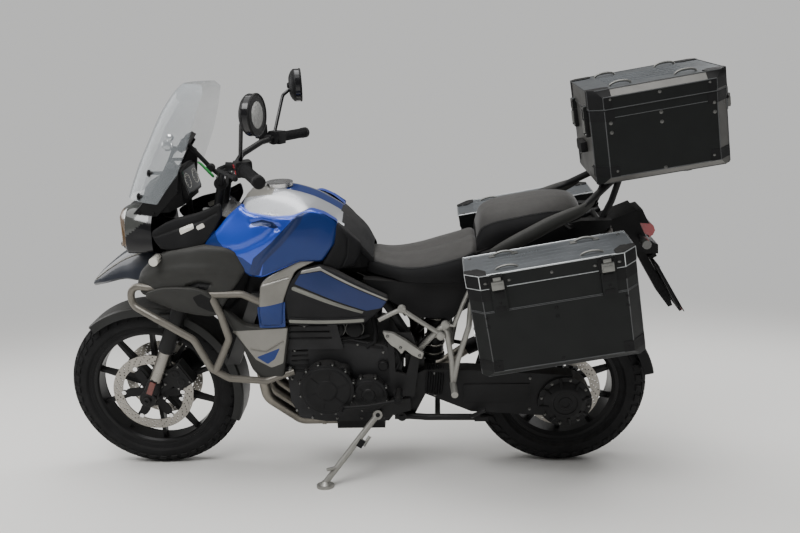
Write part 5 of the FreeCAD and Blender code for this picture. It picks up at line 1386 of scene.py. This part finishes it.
dash = Shape()
for s in SIDES:
    dash.slot = 0
    for x, z in ((-632, 1100), (-586, 1180)):
        dash.spun([(60, 7), (62, 12), (66, 12), (69, 9), (70, 0.0)], (x, s * 118, z), (-1, 0, 0), 18)
    rail = [(-722, s * 118, 1034), (-650, s * 118, 1110), (-600, s * 116, 1180), (-566, s * 112, 1240),
            (-560, s * 108, 1262)]
    dash.tube(spline(rail, 5), 5.5, 10)
    dash.tube([(-566, s * 112, 1240), (-560, s * 60, 1252), (-560, 0, 1256)], 5.0, 10)
    for x, z in ((-700, 1046), (-650, 1040), (-560, 1120)):
        dash.bolt((x, s * 124.5, z), (0, s, 0), 4.5, 4)
    dash.on(1).spun([(-2, 12), (5, 14), (8, 11), (8, 0.0)], (-566, s * 132, 1206), (0, s, 0), 20)
cluster = along_y((-556, 0, 1128), -14)
dash.on(0).block((-12, -88, -50), (10, 88, 56), 8.0, cluster)
dash.on(1).block((6, -80, -42), (14, 80, 48), 5.0, cluster)
dash.on(2).block((13.2, -74, -36), (15.4, 74, 42), 0.8, cluster)
dash.slot = 3
for y in (-44, 44):
    spot = cluster @ V(15.0, y, 4)
    turn = cluster.to_3x3()
    ring_up = (turn @ X_DIR).cross(Y_DIR).normalized()
    ring = [spot + (ring_up * cos(t) + Y_DIR * sin(t)) * 26 for t in [2 * pi * k / 32 for k in range(33)]]
    dash.tube(ring, 1.1, 6)
    for k in range(9):
        a = radians(225 - k * 33.75)
        dash.tube([spot + turn @ V(1.0, r * cos(a), r * sin(a)) for r in (21, 17)], 0.8, 5)
dash.build("dash_fittings", [BLACK, GLOSS_BLACK, DISPLAY, PALE_LENS], smooth=35)


# Controls and mirrors

def bar_point(side, share):
    """A point along the straight end of the handlebar, from its last bend to its tip."""
    a = V(-287.0, side * 285.0, 1222.0)
    b = V(-207.0, side * 440.0, 1213.0)
    return a + (b - a) * share


controls = Shape()
glass = Shape()
for s in SIDES:
    controls.slot = 0
    length = (bar_point(s, 1) - bar_point(s, 0)).length
    start = bar_point(s, 0.20)
    along = bar_point(s, 1) - bar_point(s, 0)
    profile = [(-8, 19.5), (-5, 24), (0, 24), (3, 19.5)]
    for rib in range(14):
        at = 6 + rib * 8.6
        profile += [(at, 17.4), (at + 1.2, 18.9), (at + 5.2, 18.9), (at + 6.4, 17.4)]
    profile += [(length * 0.74, 20.5), (length * 0.77, 20.5)]
    controls.spun(profile, start, along, 28)
    controls.on(1).spun([(0, 15), (0, 20.5), (16, 20.5), (20, 17), (20, 0.0)], bar_point(s, 0.985), along, 24)
    m = placed((along.normalized(), Z_DIR.cross(along.normalized()), Z_DIR), bar_point(s, 0.02))
    controls.block((-20, -27, -24), (22, 27, 26), 7.0, m)
    controls.slot = 2
    near, far = (-29.5, -26) if s < 0 else (26, 29.5)
    controls.block((-10, near, 4), (4, far, 16), 1.5, m)
    controls.block((8, near, -12), (16, far, 0), 1.2, m)
    controls.on(3).block((-8, -29 if s < 0 else 26, -14), (0, -26 if s < 0 else 29, -6), 1.0, m)
    controls.slot = 1
    clamp = V(-425, s * 48, 1125)
    controls.spun([(-17, 20.8), (-17, 22.6), (17, 22.6), (17, 20.8)], clamp, (0, 1, 0), 28)
    for dx in (-13, 13):
        controls.on(3).bolt(clamp + V(dx, 0, 17), (0.2 * dx / 13, 0, 1), 3.6, 7)
    head = V(-222.0, s * 398.0, 1404.0)
    tilt = radians(12) * s
    rear_dir = V(cos(tilt), sin(tilt), 0)
    glass.on(0).spun([(18, 60.5), (20, 63.6), (24, 63.6), (26.5, 61.5), (25.5, 58.5), (23.8, 57.5)], head,
                     rear_dir, 56)
    glass.on(1).spun([(23.4, 58.0), (24.0, 30.0), (24.2, 0.0)], head, rear_dir, 56)
    glass.on(0).spun([(2, 62.6), (-4, 60.5), (-12, 52), (-18, 41), (-21.5, 30), (-22.5, 0.0)], head, rear_dir, 56)
    glass.spun([(-20, 12), (-26, 11), (-29, 8), (-29, 0.0)], head, rear_dir, 20)
controls.build("control_trim", [GRIP, BLACK, RED, POLISHED], "steering_assembly", smooth=35)
glass.build("mirror_trim", [BLACK, REFLECTOR], "steering_assembly")

holder = Shape()
lean = along_y((-546, 0, 1261), 35)
holder.block((-12, -44, -12), (-2, 44, 18), 3.0, lean)
for s in SIDES:
    holder.block((-13, s * 40 - 4, -10), (16, s * 40 + 4, 16), 2.5, lean)
holder.spun([(-16, 11), (-14, 14), (10, 14), (14, 11)], (-470, 0, 1170), (0, 1, 0), 24)
holder.slot = 1
for z in (-12, 12):
    holder.block((-14, -46, z - 2), (18, -43.5, z + 3), 0.6, lean)
holder.block((-16, -11, -24), (-8, 11, -4), 1.5, lean)
holder.slot = 2
strap_line = [(-498, -12, 1186), (-478, -17, 1166), (-462, -14, 1146), (-466, 0, 1138), (-486, 12, 1154),
              (-506, 12, 1178), (-512, 0, 1190), (-498, -12, 1186)]
holder.tube(spline(strap_line, 4), 3.4, 8)
holder.build("holder_trim", [BLACK, BLACK, GREEN], "steering_assembly", smooth=35)


# Calipers, radiator, engine

trims = Shape()
for s in SIDES:
    m = along_y(FRONT, -32)
    trims.slot = 0
    lo_y, hi_y = sorted((s * 96.0, s * 101.0))
    trims.block((104, lo_y, -38), (168, hi_y, 42), 2.2, m)
    for dz in (-19, 21):
        at = m @ V(136, s * 100.0, dz)
        trims.spun([(0, 17), (3, 16), (4.5, 12), (4.5, 8), (3, 7), (3, 0.0)], at, (0, s, 0), 24)
    trims.slot = 1
    for x, z in ((110, 38), (162, 38), (110, -34), (162, -34), (60, 8), (78, 8)):
        trims.bolt(m @ V(x, s * 98.5, z), (0, s, 0), 4.2, 5)
    trims.slot = 2
    hose = [m @ V(150, s * 92, 48), m @ V(152, s * 96, 70), V(-660, s * 104, 540),
            V(-646, s * 96, 640), V(-616, s * 82, 735), V(-560, s * 56, 800)]
    trims.tube(spline(hose, 5), 3.6, 8)
trims.build("caliper_trim", [ENGINE_DARK, BOLT, BLACK], "steering_assembly", smooth=35)

core = Shape()
low = V(-438.5, 0, 506)
high = V(-326.0, 0, 752)
for k in range(42):
    a = low.lerp(high, k / 41)
    core.tube([(a.x, -146, a.z), (a.x, 146, a.z)], 1.5, 5)
core.slot = 1
for y in (-146, -98, -49, 0, 49, 98, 146):
    core.tube([(low.x - 2, y, low.z), (high.x - 2, y, high.z)], 2.6, 6)
for a in (low, high):
    core.tube([(a.x - 1, -150, a.z), (a.x - 1, 150, a.z)], 5.5, 8)
core.build("radiator_grille", [MESH_GREY, BLACK], smooth=50)

COVERS = ((-82, 402, 92, -210.0, 12), (64, 372, 62, -193.0, 8), (18, 400, 108, 216.0, 12), (-130, 372, 56, 200.0, 8),
          (-150, 690, 46, -186.0, 6))
block_trim = Shape()
for x, z, r, y, bolts in COVERS:
    s = copysign(1, y)
    face = V(x, y, z)
    dish = [(-6, r + 0.5), (-6, r + 5), (-1, r + 5), (1.5, r + 1), (1.5, r - 5), (4.5, r - 9), (5.5, r - 16),
            (3.5, r - 20), (3.5, r * 0.42), (6.5, r * 0.38), (7.5, r * 0.30), (6.0, r * 0.26), (6.0, 0.0)]
    block_trim.on(0).spun(dish, face, (0, s, 0), 56)
    for a in angles(6, 0.3):
        inner_end = face + V(cos(a) * r * 0.42, s * 3.5, sin(a) * r * 0.42)
        outer_end = face + V(cos(a) * (r - 20), s * 3.5, sin(a) * (r - 20))
        block_trim.tube([inner_end, outer_end], 1.8, 6)
    block_trim.slot = 1
    for k in range(bolts):
        a = 2 * pi * (k + 0.5) / bolts
        at = V(x + (r + 6.5) * cos(a), y - s * 8, z + (r + 6.5) * sin(a))
        block_trim.on(0).spun([(-14, 8.5), (0, 8.5), (2, 7)], at, (0, s, 0), 12)
        block_trim.on(1).bolt(at + V(0, s * 2, 0), (0, s, 0), 3.6, 4.5)
for s in SIDES:
    block_trim.slot = 0
    for k in range(5):
        z = 452 + k * 19
        block_trim.tube([(-214 + k * 2, s * 151.0, z), (-150, s * 152.0, z + 3)], 3.2, 8)
    block_trim.tube([(-228, s * 151.0, 540), (0, s * 151.0, 562), (120, s * 151.0, 536)], 4.5, 8)
    for k in range(6):
        z = 582 + k * 24
        block_trim.tube([(-250, s * 161, z), (-60 - k * 6, s * 161, z)], 3.4, 8)
    block_trim.slot = 1
    for x, z in ((-206, 292), (-150, 262), (-60, 258), (30, 258), (112, 262), (160, 316), (168, 420), (120, 520),
                 (30, 552), (-90, 552), (-196, 532), (-214, 420)):
        block_trim.bolt((x, s * 150.5, z), (0, s, 0), 4.5, 6)
block_trim.on(2).spun([(0, 15), (2, 19), (12, 19), (15, 15), (15, 0.0)], (118, -150, 470), (0, -1, 0), 20)
block_trim.spun([(0, 30), (10, 30), (22, 25), (26, 18), (26, 0.0)], (-24, -168, 457), (0, -1, 0), 32)
block_trim.slot = 3
for line in ([(-300, -158, 700), (-276, -172, 664), (-262, -166, 610), (-236, -156, 585)],
             [(-286, -150, 540), (-268, -166, 500), (-244, -166, 472), (-216, -154, 462)],
             [(-300, 158, 700), (-276, 172, 664), (-262, 166, 610), (-236, 156, 585)],
             [(128, -156, 560), (166, -160, 530), (176, -158, 480), (150, -154, 440)]):
    block_trim.tube(spline(line, 6), 11.0 if line[0][0] < 0 else 6.0, 12)
block_trim.slot = 1
for at, d in (((-298, -159, 696), (0.3, -0.2, -0.9)), ((-238, -157, 588), (0.6, 0.4, -0.6)),
              ((-284, -152, 536), (0.3, -0.3, -0.8)), ((-220, -155, 463), (0.9, 0.3, -0.2)),
              ((-298, 159, 696), (0.3, 0.2, -0.9)), ((-238, 157, 588), (0.6, -0.4, -0.6))):
    block_trim.spun([(-5, 11.6), (-5, 12.8), (5, 12.8), (5, 11.6)], at, d, 20)
block_trim.build("engine_trim", [ENGINE_DARK, BOLT, BLACK, GRIP], smooth=35)

pipes = Shape()
for y in (-82, 0, 82):
    pipes.on(0).spun([(-4, 21), (-4, 30), (2, 32), (8, 30), (8, 21)], (-262, y, 651), (-1, 0, -0.45), 24)
    for dy in (-27, 27):
        pipes.on(1).bolt((-276, y + dy, 645), (-1, 0, -0.45), 4.0, 9)
    pipes.on(0).spun([(-9, 20.4), (-7, 22.6), (7, 22.6), (9, 20.4)], (-120, y * 0.8, 210), (1, 0, -0.05), 24)
can_a, can_b = V(470, 214, 388), V(850, 226, 480)
can_dir = (can_b - can_a).normalized()
for along, slot in ((10, 2), (130, 0), (300, 0), (376, 2)):
    pipes.on(slot).spun([(-8, 62.3), (-7, 64.0), (7, 64.0), (8, 62.3)], can_a + can_dir * along, can_dir, 56)
pipes.on(2).spun([(-2, 60), (4, 63.5), (16, 62), (30, 46), (33, 34), (33, 31)], can_b, can_dir, 48)
pipes.spun([(33, 30.5), (36, 31), (38, 29), (38, 25), (20, 24.4)], can_b, can_dir, 40)
ring_up = can_dir.cross(Y_DIR).normalized()
ring_side = can_dir.cross(ring_up)
for a in angles(8):
    at = can_b + can_dir * 17 + (ring_up * cos(a) + ring_side * sin(a)) * 56
    pipes.on(1).bolt(at, can_dir, 3.2, 4)
pipes.build("exhaust_trim", [HEADER, POLISHED, BLACK], smooth=35)


# Rear end

rear = Shape()
rear.spun([(-14, 60.5), (-14, 74), (-10, 78), (-4, 70), (0, 60.5), (3, 56), (3, 44), (-2, 40), (-2, 26), (2, 23),
           (2, 15), (-6, 13), (-6, 0.0)], REAR + V(0, -176, 0), (0, -1, 0), 56)
for a in angles(8, 0.2):
    foot = REAR + V(cos(a) * 62, -163, sin(a) * 62)
    tip = REAR + V(cos(a) * 92, -164, sin(a) * 92)
    rear.tube([foot + V(0, -10, 0), tip], [6.5, 4.5], 8)
rear.slot = 1
for k in range(8):
    a = 2 * pi * (k + 0.5) / 8 + 0.2
    rear.bolt(REAR + V(cos(a) * 86, -164, sin(a) * 86), (0, -1, 0), 4.6, 6)
for x, z in ((300, 436), (300, 350), (640, 412), (640, 290)):
    rear.bolt((x, -154, z), (0, -1, 0), 4.8, 6)
boot = [fold_at for k in range(7) for fold_at in ((k * 9.0, 50), (k * 9.0 + 4.5, 56))] + [(63, 48)]
rear.on(2).spun(boot, (268, -123, 402), (1, 0, -0.12), 40)
rear.on(0).block((404, -158.5, 322), (640, -153, 392), 2.4)
rear.build("final_drive_trim", [ENGINE_DARK, BOLT, GRIP])

coil = Shape()
top_at, low_at = V(330, 0, 690), V(294, 0, 446)
axis = (top_at - low_at).normalized()
u_dir = axis.cross(Y_DIR).normalized()
w_dir = axis.cross(u_dir)
TURNS, STEPS = 7, 18
coil_line = []
for k in range(TURNS * STEPS + 1):
    a = 2 * pi * k / STEPS
    coil_line.append(low_at.lerp(top_at, k / (TURNS * STEPS)) + (u_dir * cos(a) + w_dir * sin(a)) * 34)
coil.tube(coil_line, 5.5, 8)
coil.on(1).spun([(-6, 40), (-6, 44), (8, 44), (12, 38)], top_at, axis, 36)
coil.spun([(-12, 38), (-8, 44), (6, 44), (6, 40)], low_at, axis, 36)
coil.build("shock_coil", [STEEL, BLACK], smooth=60)

tail = Shape()
for z in (924, 946, 968, 984):
    x = 1040 - (z - 912) * 0.45
    tail.tube([(x, -50, z), (x + 1, 50, z)], 2.0, 6)
tail.slot = 1
plate_m = along_y((1123, 0, 724), -30.5)
tail.block((2.5, -100, -104), (5.5, 100, 96), 1.2, plate_m)
tail.on(2).block((4.6, -92, -94), (5.9, 92, 86), 0.3, plate_m)
tail.slot = 0
lens_line = [(1052, 896), (1066, 906), (1072, 922), (1066, 938), (1050, 950)]
tail.grid([[(x, y, z) for x, z in lens_line] for y in (-54, -50, 0, 50, 54)])
tail.cap([(x, -54, z) for x, z in lens_line])
tail.cap([(x, 54, z) for x, z in lens_line], flip=True)
tail.slot = 3
for y in (-60, 60):
    tail.bolt(plate_m @ V(6.4, y, 70), plate_m.to_3x3() @ X_DIR, 4.0, 4)
tail.on(0).block((3, -32, -128), (9, 32, -112), 1.5, plate_m)
tail.on(1).block((-6, -34, 100), (22, 34, 116), 4.0, plate_m)
tail.build("plate_and_lamp_trim", [RED, BLACK, PALE_LENS, POLISHED], smooth=35)

rack = Shape()
for s in SIDES:
    rack.slot = 0
    for at, d in (((590, 184, 938), (0.9, 0, 0.5)), ((694, 186, 995), (0.87, 0, 0.45))):
        rack.spun([(-14, 12.2), (-12, 14.5), (12, 14.5), (14, 12.2)], (at[0], s * at[1], at[2]), d, 20)
    rack.on(1).bolt((724, s * 193, 1004), (0, s, 0), 6.0, 6)
    rack.bolt((500, s * 184, 890), (0, s, 0), 6.0, 6)
for x in (34, 306):
    for y in (-92, 92):
        puck = Shape().spun([(-20, 22), (-18, 25), (-4, 25), (-1, 22)], (x, y, 0), (0, 0, 1), 24)
        rack.merge(puck.place(TOP_M))
rack.build("rack_trim", [BLACK, POLISHED])

stand = Shape()
pivot, foot_at = V(92, -190, 292), V(-96, -312, 30)
leg = (foot_at - pivot).normalized()
spring_line = []
side_of = leg.cross(Y_DIR).normalized()
for k in range(121):
    a = 2 * pi * k / 10
    spring_line.append(pivot + leg * (80 + k * 0.34) + side_of * (18 + 5.5 * cos(a))
                       + leg.cross(side_of) * 5.5 * sin(a))
stand.tube(spring_line, 1.5, 6)
stand.on(1).spun([(-14, 11.2), (-14, 15.5), (14, 15.5), (14, 11.2)], pivot + leg * 118, leg, 20)
stand.build("side_stand_trim", [SATIN, BLACK, SATIN], "side_stand_body", smooth=60)


# Rails, castings and grab rail covers

def slab(form, outline, y0, y1, round_by, inset):
    """A cast plate over a side-view outline between y0 (inner) and y1 (outer), its outer edge eased."""
    loop = rounded(outline, round_by, 3)
    middle = sum(loop, V(0, 0)) / len(loop)
    eased = [q + (middle - q).normalized() * inset for q in loop]
    s = copysign(1, y1 - y0)
    rows = [[(q.x, y0, q.y) for q in loop], [(q.x, y1 - s * inset, q.y) for q in loop],
            [(q.x, y1, q.y) for q in eased]]
    form.grid(rows, closed=True)
    form.cap(rows[-1])


rails = Shape()
rails.tube([(112, -184, 657), (152, -184, 678), (193, -184, 697)], 8.5, 12)
rails.tube([(186, -184, 700), (256, -182, 648), (326, -176, 596)], 8.5, 12)
rails.tube([(438, -182, 790), (404, -182, 712), (372, -182, 630), (342, -178, 636)], 7.0, 10)
for x, z in ((193, 697), (326, 594), (342, 636)):
    rails.spun([(-6, 13), (-5, 15), (5, 15), (7, 12), (7, 0.0)], (x, -184, z), (0, -1, 0), 20)
rails.slot = 1
slab(rails, [(122, 612), (160, 606), (206, 576), (240, 548), (266, 528), (258, 504), (226, 520), (200, 542),
             (186, 524), (168, 548), (150, 560), (132, 584)], -168, -184, 6.0, 3.0)
rails.slot = 2
for x, z in ((140, 596), (250, 520), (184, 552)):
    rails.bolt((x, -184, z), (0, -1, 0), 5.0, 6)
rails.on(3).block((158, -258, 370), (186, -196, 380), 3.0)
for k in range(5):
    rails.block((157, -252 + k * 12, 379), (187, -246 + k * 12, 384), 1.0)
rails.on(0).block((360, -262, 398), (376, -196, 416), 4.0)
rails.build("hanger_rails", [SATIN, SATIN, BOLT, GRIP], smooth=35, mirror=True)

grab = Shape()
GRAB_LINE = [(508, -174, 893), (545, -180, 915), (590, -184, 940), (640, -186, 967), (694, -186, 996),
    (750, -182, 1020), (800, -176, 1041), (846, -150, 1068)]
line = spline(GRAB_LINE, 4)
rows = []
for i, at in enumerate(line):
    ahead_dir = (line[min(i + 1, len(line) - 1)] - line[max(i - 1, 0)]).normalized()
    out_dir = ahead_dir.cross(Z_DIR).normalized()
    up_dir = out_dir.cross(ahead_dir)
    share = i / (len(line) - 1)
    swell = sin(pi * min(1.0, 0.12 + share * 0.88)) ** 0.35
    tall, wide = 25 * swell, 16.5 * swell
    rows.append([at + up_dir * (tall * sin(a)) + out_dir * (wide * cos(a)) - V(0, 0, 5)
                 for a in angles(18)])
grab.grid(rows, closed=True).cap(rows[0], flip=True).cap(rows[-1])
grab.build("grab_rail_grips", [COWL], smooth=60, mirror=True)


# Dark ducts behind the cowl's rear edge

DUCT_EDGE = [(-464, 690), (-446, 770), (-404, 850), (-330, 884), (-276, 852), (-268, 800), (-272, 640),
    (-330, 606), (-384, 560), (-446, 606)]
DUCT_DEPTH = [(-464, 690, -156), (-404, 850, -160), (-330, 884, -160), (-276, 800, -160), (-272, 640, -158),
    (-446, 606, -156), (-384, 560, -160), (-360, 740, -146)]
panel("cowl_ducts", DUCT_EDGE, DUCT_DEPTH, [BLACK], edge=8, crown=3, thick=14, step=14,
    grooves=[([(-420, 700), (-360, 760), (-320, 850)], 9.0, -6.0)])


# Intake bodies between the engine and the side covers

intake = Shape()
intake.block((-150, -120, 604), (58, 120, 668), 14.0)
for x in (-112, -46, 20):
    intake.on(1).spun([(0, 26), (2, 30), (34, 30), (36, 27), (44, 27), (46, 24), (46, 0.0)], (x, -104, 596),
                      (0, -1, 0.25), 24)
    intake.on(2).spun([(14, 30), (14, 33), (22, 33), (22, 30)], (x, -104, 596), (0, -1, 0.25), 24)
intake.on(1).tube([(-130, -132, 578), (-60, -138, 572), (40, -138, 572), (74, -132, 580)], 8.0, 12)
intake.on(0).tube([(88, -120, 640), (96, -140, 600), (92, -146, 560), (60, -148, 540)], 9.0, 12)
intake.build("intake_bodies", [BLACK, ENGINE_DARK, BOLT], mirror=True)
